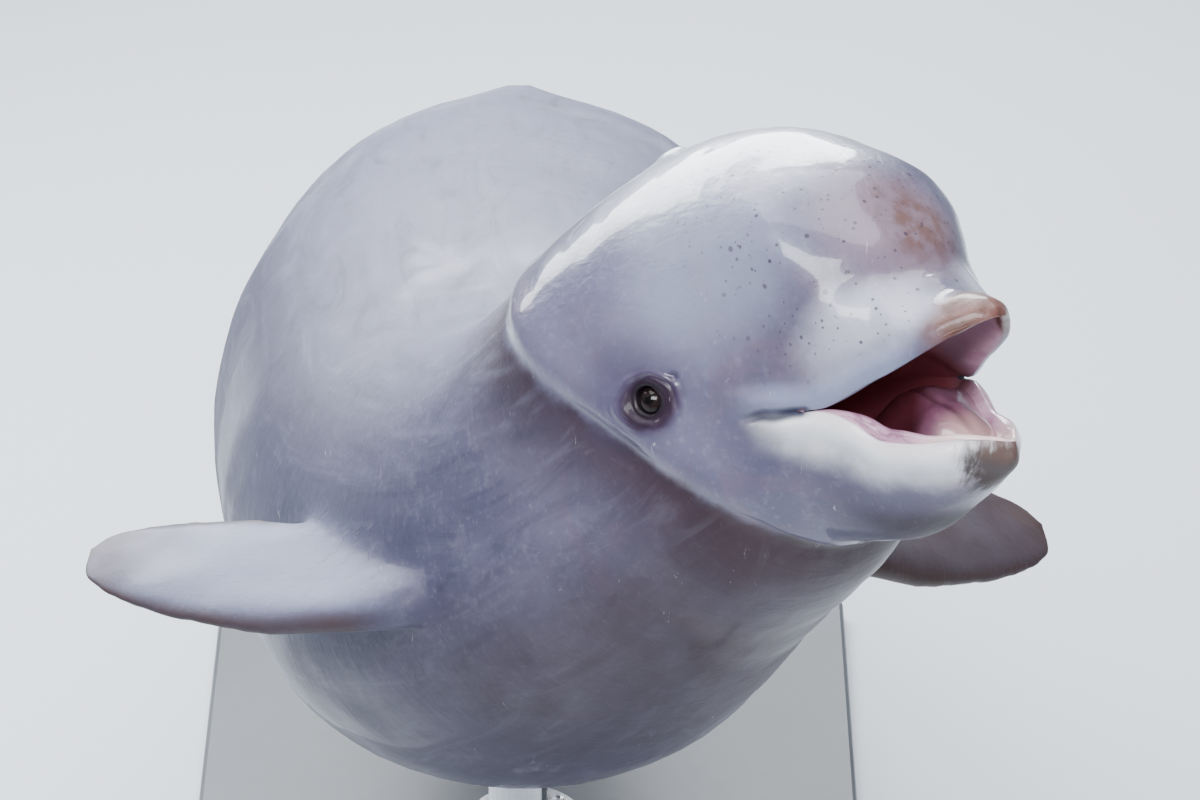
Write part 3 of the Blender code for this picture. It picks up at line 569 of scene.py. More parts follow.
def eye_relief(b, y, z):
    """How far the lids and the flesh round the eye stand out or sink in."""
    near = np.abs(np.abs(y) - EYE[1]) < 0.04
    lid_turn = np.arctan2(z - LIDS_UP, LIDS_BACK - b)
    uneven = 1 + 0.05 * np.cos(2 * lid_turn - 0.6) + 0.020 * np.sin(5 * lid_turn)
    reach = np.where(near, np.hypot(LIDS_BACK - b, z - LIDS_UP) * uneven, 1.0)
    ahead, above = EYE_PATCH_BACK - b, z - EYE_PATCH_UP
    c, s = math.cos(EYE_PATCH_TILT), math.sin(EYE_PATCH_TILT)
    along, across = ahead * c - above * s, ahead * s + above * c
    ring = np.where(near, np.hypot(along / EYE_PATCH_LENGTH, across / EYE_PATCH_HEIGHT), 9.0)
    turn = np.arctan2(across, along)
    ring = ring + 0.05 * np.sin(3 * turn + 1.0) + 0.03 * np.sin(7 * turn)
    top = 0.5 + 0.5 * np.cos(turn - 1.9)
    furrowed = 0.30 + 0.70 * np.cos(turn - 1.3) ** 2
    rise = 0.0010 * bell(reach - 0.0145, 0.0018)
    rise = rise - 0.0007 * bell(reach - 0.0180, 0.0016) * (1 - 0.7 * top)
    rise = rise + 0.0012 * bell(ring - 0.90, 0.17)
    rise = rise - (0.0006 + 0.0012 * top) * furrowed * bell(ring - 1.05, 0.075)
    rise = rise + 0.0018 * top * bell(ring - 1.20, 0.11)
    rise = rise + 0.0034 * bell(reach, 0.038) * ease(0.012, 0.026, reach) - 0.0030 * bell(reach, 0.018)
    rise = rise - 0.0022 * bell(reach, 0.020) * np.clip((b - LIDS_BACK) / 0.014, -1.0, 1.0)
    for at, depth, start in EYE_WRINKLES:
        wander = 0.07 * np.sin(4 * turn + 9 * at)
        rise = rise - depth * bell(ring - at - wander, 0.055) * (0.5 + 0.5 * np.cos(turn - start))
    sink = 1 - ease(0.0110, 0.0128, reach)
    return rise * (1 - sink) - 0.018 * sink


def blowhole_relief(b, y, z):
    ahead = BLOWHOLE_BACK - BLOWHOLE_RADIUS - b
    turn = np.arctan2(y, -ahead)
    inside = np.abs(turn) < BLOWHOLE_SPREAD
    arc = np.abs(np.hypot(ahead, y) - BLOWHOLE_RADIUS)
    ends = np.array([math.cos(BLOWHOLE_SPREAD), math.sin(BLOWHOLE_SPREAD)]) * BLOWHOLE_RADIUS
    to_end = np.hypot(-ahead - ends[0], np.abs(y) - ends[1])
    gap = np.where(inside, arc, to_end)
    gap = np.where(z > 0.2, gap, 1.0)
    rim = 0.0030 * bell(gap - 0.0085, 0.0050) + 0.0040 * bell(gap, 0.030)
    return rim - 0.0130 * bell(gap, 0.0028)


def relief(points, lower, inside):
    """How far each point of the skin stands out from the plain form."""
    b, y, z = points.T
    side = np.abs(y)
    folded = np.stack([b, side, z], -1)
    outer = inside < 0.5
    rail = through(RAIL, b)
    front = 1 - ease(0.20, 0.24, b)
    out = np.zeros(len(points))

    # Melon over the upper lip
    gap, along = from_line(folded, MELON_CREASE)
    above = z - np.interp(side, [p[1] for p in MELON_CREASE], [p[2] for p in MELON_CREASE])
    fade = 1 - ease(0.35, 1.0, along)
    out -= (0.0065 * fade + 0.001) * bell(gap, 0.011 + 0.014 * along)
    out += 0.0025 * fade * bell(above + 0.024, 0.016) * bell(gap, 0.040)

    for place, height, width in SWELLINGS:
        out += height * bell(np.linalg.norm(folded - place, axis=1), width)

    # Cheek valley, the pad of the upper lip and the step behind it
    gap, along = from_line(folded, CHEEK_VALLEY)
    out -= 0.0060 * bell(gap, 0.026) * np.sin(math.pi * np.clip(0.12 + 0.80 * along, 0, 1))
    gap, along = from_line(folded, PAD_EDGE)
    out += 0.0026 * bell(gap, 0.011) * np.sin(math.pi * along) * ease(0.004, 0.020, z - rail)

    # Lips
    fall = rail - z
    lip_row = front * ease(0.008, 0.05, b)
    lower_lip = 0.0050 * bell(fall - 0.011, 0.010) - 0.0022 * bell(fall - 0.031, 0.006)
    out += lower * outer * lip_row * lower_lip
    rise = z - rail
    upper_lip = 0.0030 * bell(rise - 0.009, 0.008) - 0.0016 * bell(rise - 0.024, 0.006)
    out += (1 - lower) * outer * between(0.05, 0.09, 0.21, 0.24, b) * upper_lip
    tip_row = 1 - ease(0.03, 0.07, b)
    out += (1 - lower) * outer * tip_row * ease(0.002, 0.012, b) * 0.0025 * bell(rise - 0.010, 0.008)
    lip_gap = np.hypot(rise, side - through(HALF_WIDTH, b))
    out += (1 - lower) * inside * (1 - ease(0.022, 0.060, b)) * 0.0030 * bell(lip_gap - 0.008, 0.006)

    # Corner of the mouth
    gap, along = from_line(folded, MOUTH_GROOVE)
    higher = z - np.interp(b, [p[0] for p in MOUTH_GROOVE], [p[2] for p in MOUTH_GROOVE])
    behind = outer * ease(0.160, 0.180, b) * (1 - ease(0.70, 1.0, along))
    out -= 0.0075 * behind * bell(gap, 0.0042)
    out += 0.0034 * behind * bell(higher - 0.011, 0.008) * bell(gap, 0.016)
    out += 0.0016 * behind * bell(higher + 0.012, 0.008) * bell(gap, 0.016)

    # Eyes, gums and blowhole
    out += outer * eye_relief(b, y, z)
    gums = bell(side - 0.78 * through(HALF_WIDTH, b), 0.007) * (1 - ease(0.12, 0.17, b))
    out += 0.0022 * inside * gums * ease(0.01, 0.03, b)
    out += outer * blowhole_relief(b, y, z)

    # Chin
    out += 0.003 * lower * outer * bell(b - 0.02, 0.016) * bell(fall - 0.022, 0.014)

    # The crease behind the head, and slack folds of the neck, deepest on the inside of the bend
    slanted = b - NECK_CREASE_SLANT * z * (1 - ease(0.40, 0.80, b))
    from_crease = (slanted - NECK_CREASE_BACK) / 1.2 + 0.007 * lumps(points, 7.0, 11.0)
    crease_width = np.where(from_crease < 0, 0.0085, 0.030)
    crease_depth = 0.0065 * (0.7 + 0.5 * lumps(points, 12.0, 17.0))
    out -= outer * crease_depth * bell(from_crease, crease_width)
    out += outer * 0.0035 * bell(from_crease + 0.024, 0.018)
    inner_bend = 0.25 + 0.75 * ease(-0.15, 0.20, y) * ease(-0.10, 0.15, z)
    patchy = 0.55 + 0.9 * lumps(points, 9.0, 21.0)
    for at, deep in NECK_FOLDS:
        wander = 0.016 * np.sin(7.0 * y + 11.0 * z + 31.0 * at)
        fold = deep * inner_bend * np.clip(patchy, 0.0, 1.2)
        out -= fold * bell(slanted - at - wander, 0.013)
        out += 0.6 * fold * bell(slanted - at - wander - 0.030, 0.020)

    # Navel, the slit behind it and the ridge's small steps
    out -= 0.0060 * bell(np.linalg.norm(points - NAVEL, axis=1), 0.014)
    slit = lower * between(*SLIT, b)
    out -= 0.0060 * slit * bell(y, 0.007)
    out += 0.0045 * slit * bell(side - 0.020, 0.014)
    crest = bell(y, 0.018) * (z > 0.1) * between(*RIDGE_SPAN, b)
    out += 0.0020 * crest * np.sin(b * RIDGE_STEPS_PER_METRE)

    # Slack, lumpy flesh along the flanks and belly
    trunk = between(0.50, 0.95, 2.7, 3.3, b)
    out += trunk * 0.0060 * lumps(points * [0.7, 1.0, 1.0], 5.2, 3.0)
    out += (0.25 + 0.75 * trunk) * 0.0022 * lumps(points, 11.0, 7.0) * outer
    out += 0.0007 * lumps(points, 42.0, 1.0) * outer * ease(0.0, 0.03, b)
    return out * ease(0.0, 0.006, b)


def soften(places, edges, weight, rounds):
    """Moves each point towards the mean of its neighbours, by its weight."""
    a, b = edges.T
    count = np.bincount(a, minlength=len(places)) + np.bincount(b, minlength=len(places))
    for _ in range(rounds):
        total = np.zeros_like(places)
        for k in range(3):
            ahead = np.bincount(a, places[b, k], len(places))
            total[:, k] = ahead + np.bincount(b, places[a, k], len(places))
        mean = total / np.maximum(count, 1)[:, None]
        places = places + (mean - places) * weight[:, None]
    return places


def point_areas(mesh):
    """The share of the surface that belongs to each point."""
    area = read(mesh.polygons, "area")
    corners = read(mesh.polygons, "loop_total", 1, np.int32)
    spots = read(mesh.loops, "vertex_index", 1, np.int32)
    return np.bincount(spots, np.repeat(area / corners, corners), len(mesh.vertices))


def rounded(places, areas, weight, group, radius):
    """Moves each point towards the mean of the surface near it, by its weight, group by group."""
    moved = places.copy()
    for member in (False, True):
        ids = np.flatnonzero((weight > 0.002) & (group == member))
        tree = tree_of(places[ids])
        own = areas[ids]
        for i, spot in enumerate(places[ids].tolist()):
            found = tree.find_range(spot, 2.4 * radius)
            near = np.array([f[1] for f in found])
            share = own[near] * bell(np.array([f[2] for f in found]), 1.4 * radius)
            mean = share @ places[ids[near]] / share.sum()
            moved[ids[i]] += (mean - places[ids[i]]) * weight[ids[i]]
    return moved


def posed_skin():
    """The skin with its folds, lips rounded, jaw opened and bent into the pose."""
    skin = straight_skin()
    mesh = skin.data
    straight = places_of(mesh)
    lower = kept_values(mesh, "lower") > 0.5
    inside = kept_values(mesh, "inside")
    normals = read(mesh.vertices, "normal", 3)
    lifted = straight + normals * relief(straight, lower * 1.0, inside)[:, None]
    b, y, z = straight.T
    rise, half = z - through(RAIL, b), through(HALF_WIDTH, b)
    lip_gap = np.hypot(rise, np.abs(y) - half)
    lip = bell(lip_gap, 0.009) * (1 - ease(LIPS_PART - 0.008, LIPS_PART + 0.004, b))
    lifted = rounded(lifted, point_areas(mesh), lip, lower, 0.0026)

    # The left side of the lower lip is drawn in near the chin, and a little higher behind it.
    left = lower * ease(0.0, 0.6, y / np.maximum(half, 1e-4)) * bell(lip_gap, 0.028)
    lifted[:, 1] -= 0.008 * left * bell(b - 0.030, 0.028)
    lifted[:, 2] += left * (0.004 * bell(b - 0.10, 0.03) - 0.006 * bell(b - 0.028, 0.026))
    write_places(mesh, SPINE.carry(open_jaw(lifted, lower)))

    turned_in = 0.005 * (1 - ease(0.05, 0.10, b)) + 0.009 * (1 - ease(0.022, 0.060, b))
    rim = np.where(lower, -0.001, turned_in)
    lining = inside * ease(0.0, np.where(lower, 0.003, 0.005), lip_gap - rim)
    keep_values(mesh, "rest", straight)
    keep_values(mesh, "mouth", np.stack([rise, lining, lower * 1.0], -1))
    face_outward(skin)
    return skin


def blade_rings(spans, around, lead, trail, thick, curl):
    """Rings of a fin: x towards the leading edge, y out along the span, z up."""
    angle = np.linspace(0.0, 2 * math.pi, around + 1)[None, :-1]
    spans = np.asarray(spans, float)[:, None]
    front, rear = through(lead, spans), through(trail, spans)
    x = (front + rear) / 2 + (front - rear) / 2 * np.cos(angle)
    z = through(thick, spans) / 2 * np.sin(angle) * (1 + 0.3 * np.cos(angle))
    z = z + curl * np.clip(spans / spans.max(), 0, 1) ** 2.5
    return np.stack([x, np.broadcast_to(spans, x.shape), z], -1)


def closed_rings(name, rings):
    rows, count = rings.shape[:2]
    faces = [list(range(count)), list(range((rows - 1) * count, rows * count))]
    for i in range(rows - 1):
        for j in range(count):
            a, b = i * count + j, i * count + (j + 1) % count
            faces.append([a, b, b + count, a + count])
    made = mesh_object(name, rings.reshape(-1, 3), faces)
    face_outward(made)
    return made


def flipper(side):
    """One flipper with its ring values: edge, distance out and upper or lower face."""
    spans = FLIPPER_SPAN * np.sin(np.linspace(0.0, math.pi / 2, 42)) ** 1.15
    rings = blade_rings(spans, 56, FLIPPER_LEAD, FLIPPER_TRAIL, FLIPPER_THICK, FLIPPER_CURL)
    flat = rings.reshape(-1, 3)
    ripple = 0.0030 * lumps(flat * [1.0, 0.6, 0.0], 24.0, 5.0) * ease(0.02, 0.12, flat[:, 1])
    flat[:, 2] += ripple
    flat[:, 0] += 0.0022 * lumps(flat * [0.2, 1.0, 0.0], 60.0, 9.0) * ease(0.05, 0.2, flat[:, 1])
    rings = flat.reshape(rings.shape)
    out = Vector(FLIPPER_REACH[side]).normalized()
    lead = Vector((1.0, 0.0, 0.0))
    lead = (lead - lead.dot(out) * out).normalized()
    up = lead.cross(out) if side == "left" else out.cross(lead)
    arc = lower_arc([FLIPPER_BACK], np.linspace(0.0, math.pi, 91))[0]
    column = round(math.degrees(FLIPPER_DOWN) / 2)
    root = SPINE.carry(arc[column if side == "left" else -1 - column][None, :])[0]
    inward = SPINE.carry(np.array([[FLIPPER_BACK + SUNK_SET_BACK, 0.0, 0.0]]))[0] - root
    inward /= np.linalg.norm(inward)
    blade = rings @ np.array([lead, out, up])
    sunk = root + blade[:1] * SUNK_SHRINK + FLIPPER_SUNK[1] * inward
    blade = root + blade + FLIPPER_SUNK[0] * inward
    return closed_rings(f"flipper_{side}", np.concatenate([sunk, blade])), rings


def fluke(side):
    """One fluke, from the notch out to its tip."""
    sign = 1.0 if side == "left" else -1.0
    spans = -0.012 + (FLUKE_SPAN + 0.012) * np.sin(np.linspace(0.0, math.pi / 2, 44)) ** 1.1
    lead = {out: -back for out, back in FLUKE_LEAD.items()}
    trail = {out: -back for out, back in FLUKE_TRAIL.items()}
    rings = blade_rings(spans, 52, lead, trail, FLUKE_THICK, 0.0)
    waves = lumps(rings.reshape(-1, 3) * [1.0, 1.0, 0.0], 18.0, 2.0)
    rings[..., 2] += 0.0025 * waves.reshape(rings.shape[:2])
    straight = np.stack([-rings[..., 0], sign * rings[..., 1], rings[..., 2]], -1)
    return closed_rings(f"fluke_{side}", SPINE.carry(straight)), rings


def fin_values(rings, lead, trail, sunk):
    """For each point of a fin: how near an edge it is, 0 to 1, and how far out, as a share."""
    spans = np.clip(rings[..., 1], 0.0, None)
    front, rear = through(lead, spans), through(trail, spans)
    middle, half = (front + rear) / 2, np.maximum((front - rear) / 2, 1e-4)
    edge = np.clip(np.abs(rings[..., 0] - middle) / half, 0, 1)
    share = spans / spans.max()
    edge = np.maximum(edge, ease(0.90, 1.0, share))
    values = np.stack([edge, share, np.ones_like(edge)], -1)
    if sunk:
        values = np.concatenate([values[:1], values])
    return values.reshape(-1, 3)


def join_fins(skin):
    """Unites the fins with the body, rounds each root, and gives each point its values back."""
    rest, mouth = (kept_vectors(skin.data, name) for name in ("rest", "mouth"))
    spots, values = [places_of(skin.data)], [None]
    for make, lead, trail, sunk in (
        (flipper, FLIPPER_LEAD, FLIPPER_TRAIL, True),
        (fluke, {k: -v for k, v in FLUKE_LEAD.items()}, {k: -v for k, v in FLUKE_TRAIL.items()}, False),
    ):
        for side in ("right", "left"):
            fin, rings = make(side)
            spots.append(places_of(fin.data))
            values.append(fin_values(rings, lead, trail, sunk))
            step = skin.modifiers.new("root", "BOOLEAN")
            step.operation, step.object, step.solver = "UNION", fin, "MANIFOLD"
            bpy.context.view_layer.update()
            graph = bpy.context.evaluated_depsgraph_get()
            joined = bpy.data.meshes.new_from_object(skin.evaluated_get(graph))
            skin.modifiers.clear()
            skin.data = joined
            bpy.data.objects.remove(fin, do_unlink=True)
    mesh = skin.data
    places = places_of(mesh)
    trees = [tree_of(each) for each in spots]
    fins = range(1, len(trees))

    def nearest(k, points):
        found = [trees[k].find(point) for point in points.tolist()]
        return np.array([f[1] for f in found]), np.array([f[2] for f in found])

    # The points that the union added lie on the seam between a fin and the body.
    to_body = nearest(0, places)[1]
    to_fins = np.min([nearest(k, places)[1] for k in fins], axis=0)
    seam = tree_of(places[(to_body > SAME_PLACE) & (to_fins > SAME_PLACE)])

    shaped = bmesh.new()
    shaped.from_mesh(mesh)
    near = {v for v in shaped.verts if seam.find(v.co)[2] < ROOT_REACH}
    edges = [e for e in shaped.edges if near.issuperset(e.verts) and e.calc_length() > 0.006]
    bmesh.ops.subdivide_edges(shaped, edges=edges, cuts=1, use_grid_fill=False)
    bmesh.ops.triangulate(shaped, faces=[f for f in shaped.faces if len(f.verts) > 4])
    shaped.to_mesh(mesh)
    shaped.free()
    places = places_of(mesh)
    gap = np.array([seam.find(place)[2] for place in places.tolist()])
    places = soften(places, edges_of(mesh), 0.6 * bell(gap, 0.024), 26)
    write_places(mesh, places)

    body_at, body_gap = nearest(0, places)
    fin = np.zeros((len(places), 3))
    for k in fins:
        at, fin_gap = nearest(k, places)
        closer = fin_gap < body_gap
        share = 1 - ease(0.0, 0.02, fin_gap)
        near_fin = (closer & (share > fin[:, 2]))[:, None]
        fin = np.where(near_fin, values[k][at] * share[:, None], fin)
    fin = soften(fin, edges_of(mesh), bell(gap, ROOT_REACH), 40)
    keep_values(mesh, "rest", rest[body_at])
    keep_values(mesh, "mouth", mouth[body_at])
    keep_values(mesh, "fin", fin)
    return skin


# ---------------------------------------------------------------- tongue and eyes
TONGUE_RIGHT = {
    0.0: 0.0, 0.006: 0.013, 0.02: 0.027, 0.045: 0.034, 0.07: 0.030, 0.10: 0.028, 0.15: 0.028,
    0.24: 0.026,
}
TONGUE_LEFT = {
    0.0: 0.0, 0.006: 0.016, 0.02: 0.036, 0.05: 0.058, 0.09: 0.073, 0.128: 0.084, 0.15: 0.076,
    0.20: 0.046, 0.24: 0.028,
}
TONGUE_CREASE = {
    0.0: -0.008, 0.006: -0.002, 0.014: 0.004, 0.033: 0.0140, 0.05: 0.0185, 0.075: 0.0190, 0.09: 0.0140,
    0.11: 0.003, 0.15: -0.016, 0.24: -0.030,
}
TONGUE_TIP, TONGUE_LENGTH = 0.050, 0.24
TONGUE_FLOOR_REACH = 0.11
TONGUE_LOBE, TONGUE_SHOULDER = 0.0042, 0.026
TONGUE_LEFT_EDGE = -0.0065
TONGUE_REAR_DROP = 0.030


def tongue():
    """A tongue creased down its middle: a full lobe on the right, the left one spread to the lip."""
    along = TONGUE_LENGTH * np.linspace(0.0, 1.0, 70) ** 1.4
    angle = np.linspace(0.0, 2 * math.pi, 97)[None, :-1]
    s = along[:, None]
    back = TONGUE_TIP + s
    across = np.sign(np.cos(angle)) * np.abs(np.cos(angle)) ** 0.85
    leftward = across > 0
    y = across * np.where(leftward, through(TONGUE_LEFT, s), through(TONGUE_RIGHT, s))
    grown = ease(0.0, 0.03, s)
    ridge = through(TONGUE_CREASE, s) + TONGUE_LOBE * grown
    groove = TONGUE_LOBE * grown * bell(y, 0.007)
    left_edge = through(RAIL, back) + TONGUE_LEFT_EDGE
    left_fall = np.maximum(ridge - left_edge, 0.0) * np.abs(across) ** 1.9
    rear = TONGUE_REAR_DROP * ease(0.045, 0.090, s) * ease(0.1, 0.9, np.abs(across))
    right_fall = TONGUE_SHOULDER * np.abs(across) ** 3.2 * ease(0.0, 0.02, s) + rear
    top = ridge - groove - np.where(leftward, left_fall, right_fall)
    hollow = np.abs(np.cos(0.5 * math.pi * y / TONGUE_FLOOR_REACH)) ** 1.2
    floor = through(RAIL, back) - through(FLOOR_DEPTH, back) * hollow
    right_side = ridge - TONGUE_SHOULDER * ease(0.0, 0.02, s) - rear
    side = np.where(leftward, np.minimum(left_edge, ridge), right_side)
    under = side + (np.minimum(floor, side) - side) * np.abs(np.sin(angle)) ** 0.6
    z = np.where(np.sin(angle) >= 0, top, under)
    straight = np.stack([np.broadcast_to(back, y.shape), y, z], -1)
    flat = straight.reshape(-1, 3)
    flat[:, 2] += 0.0012 * lumps(flat, 55.0, 4.0)
    posed = SPINE.carry(open_jaw(flat, np.ones(len(flat), bool)))
    made = closed_rings("tongue_flesh", posed.reshape(straight.shape))
    keep_values(made.data, "rest", flat)
    return made


def eyeball(side):
    """One eye: a ball with a clear bulge in front, its values measured from its own axis."""
    low, high = (np.array(corner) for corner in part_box(f"eye_{side}"))
    centre = (low + high) / 2
    sign = 1.0 if side == "left" else -1.0
    place = SPINE.carry(np.array([[EYE[0], sign * EYE[1], EYE[2]]]))[0]
    ahead = SPINE.carry(np.array([[EYE[0] - 0.02, sign * EYE[1], EYE[2]]]))[0]
    gaze_at = SPINE.carry(np.array([[EYE[0] - 0.0035, sign * EYE[1], EYE[2] + 0.001]]))[0]
    out = (gaze_at - centre) / np.linalg.norm(gaze_at - centre)
    ahead = ahead - place
    ahead -= out * (ahead @ out)
    ahead /= np.linalg.norm(ahead)
    above = np.cross(out, ahead) * (1 if side == "right" else -1)
    bpy.ops.mesh.primitive_uv_sphere_add(segments=72, ring_count=48, radius=EYE_RADIUS)
    ball = bpy.context.object
    ball.name = f"eye_{side}_ball"
    own = places_of(ball.data)
    reach = np.hypot(own[:, 0], own[:, 1])
    own[:, 2] += 0.0008 * bell(reach, 0.0075) * (own[:, 2] > 0)
    keep_values(ball.data, "gaze", own)
    write_places(ball.data, centre + own @ np.array([ahead, above, out]))
    face_outward(ball)
    return ball


# ---------------------------------------------------------------- shader maths
def srgb(red, green, blue):
    """Linear colour from values out of 255."""
    shares = [c / 255 for c in (red, green, blue)]
    return tuple(s / 12.92 if s < 0.04045 else ((s + 0.055) / 1.055) ** 2.4 for s in shares) + (1.0,)


def maths(operation, swapped=False):
    """A method that adds one Math node, its terms swapped for a reflected operator."""
    def method(value, other=0.0):
        terms = (other, value) if swapped else (value, other)
        node = value.finish.node("ShaderNodeMath", {"operation": operation}, dict(enumerate(terms)))
        return Value(value.finish, node.outputs[0])
    return method


class Value:
    """A socket that Python expressions turn into Math nodes."""

    def __init__(self, finish, socket):
        self.finish, self.socket = finish, socket

    __add__ = __radd__ = maths("ADD")
    __mul__ = __rmul__ = maths("MULTIPLY")
    __sub__ = maths("SUBTRACT")
    __rsub__ = maths("SUBTRACT", swapped=True)
    __abs__ = maths("ABSOLUTE")
    most = maths("MAXIMUM")
    least = maths("MINIMUM")

    def above(self, low, high):
        """0 below low, 1 past high, with a smooth step between; high may be the lower one."""
        settings = {"interpolation_type": "SMOOTHSTEP"}
        places = {"Value": self, "From Min": low, "From Max": high}
        if high < low:
            places.update({"From Min": high, "From Max": low, "To Min": 1.0, "To Max": 0.0})
        return Value(self.finish, self.finish.node("ShaderNodeMapRange", settings, places).outputs[0])


class Finish:
    """One material and the nodes that feed its Principled shader."""

    def __init__(self, name, **uniform):
        self.material = bpy.data.materials.new(name)
        self.material.use_nodes = True
        self.tree = self.material.node_tree
        self.shader = self.tree.nodes["Principled BSDF"]
        for socket, value in uniform.items():
            self.shader.inputs[socket.replace("_", " ")].default_value = value

    def node(self, kind, settings=None, sockets=None):
        made = self.tree.nodes.new(kind)
        for name, value in (settings or {}).items():
            setattr(made, name, value)
        for name, value in (sockets or {}).items():
            self.put(made.inputs[name], value)
        return made

    def put(self, socket, value):
        if isinstance(value, Value):
            self.tree.links.new(value.socket, socket)
        elif isinstance(value, bpy.types.NodeSocket):
            self.tree.links.new(value, socket)
        else:
            socket.default_value = value

    def feed(self, **inputs):
        for socket, value in inputs.items():
            self.put(self.shader.inputs[socket.replace("_", " ")], value)

    def kept(self, name):
        """A value or vector stored on the mesh."""
        return self.node("ShaderNodeAttribute", {"attribute_name": name})

    def parts(self, vector):
        split = self.node("ShaderNodeSeparateXYZ", None, {0: vector})
        return [Value(self, split.outputs[k]) for k in range(3)]

    def place(self):
        return self.node("ShaderNodeTexCoord").outputs["Object"]

    def vectors(self, operation, *terms):
        node = self.node("ShaderNodeVectorMath", {"operation": operation}, dict(enumerate(terms)))
        return node.outputs

    def scaled(self, vector, scale):
        return self.vectors("MULTIPLY", vector, scale)["Vector"]

    def mottle(self, vector, scale, detail=3.0, rough=0.5, distortion=0.0):
        sockets = {"Vector": vector, "Scale": scale, "Detail": detail, "Roughness": rough}
        sockets["Distortion"] = distortion
        return Value(self, self.node("ShaderNodeTexNoise", None, sockets).outputs["Fac"])

    def from_point(self, vector, place, spread=(1.0, 1.0, 1.0)):
        """Distance from a place, each direction divided by its spread."""
        away = self.vectors("SUBTRACT", vector, place)["Vector"]
        sized = self.vectors("DIVIDE", away, spread)["Vector"]
        return Value(self, self.vectors("LENGTH", sized)["Value"])

    def blend(self, share, one, two):
        """Colour one, going over to colour two by the share."""
        made = self.node("ShaderNodeMix", {"data_type": "RGBA", "clamp_factor": True})
        self.put(made.inputs[0], share)
        self.put(made.inputs[6], one)
        self.put(made.inputs[7], two)
        return made.outputs[2]

    def bump(self, height, distance, strength=1.0, below=None):
        sockets = {"Height": height, "Distance": distance, "Strength": strength}
        if below is not None:
            sockets["Normal"] = below
        return self.node("ShaderNodeBump", None, sockets).outputs["Normal"]


class Tones:
    """Colours laid one over another, each by its share and given out of 255."""

    def __init__(self, finish, share, one, two):
        self.finish = finish
        self.mixed = finish.blend(share, srgb(*one), srgb(*two))

    def over(self, share, *colour):
        self.mixed = self.finish.blend(share, self.mixed, srgb(*colour))

    def cover(self, share, others):
        self.mixed = self.finish.blend(share, self.mixed, others.mixed)


def mirrored_rest(finish):
    """The straight place of each point with both sides folded onto one, and its parts."""
    rest = finish.kept("rest").outputs["Vector"]
    b, y, z = finish.parts(rest)
    folded = finish.node("ShaderNodeCombineXYZ", None, {0: b, 1: abs(y), 2: z}).outputs[0]
    return rest, folded, b, y, z


# Dark spots: cells per metre and largest radius as a share of a cell
SPOTS = ((66.0, 0.18), (90.0, 0.16), (118.0, 0.14))


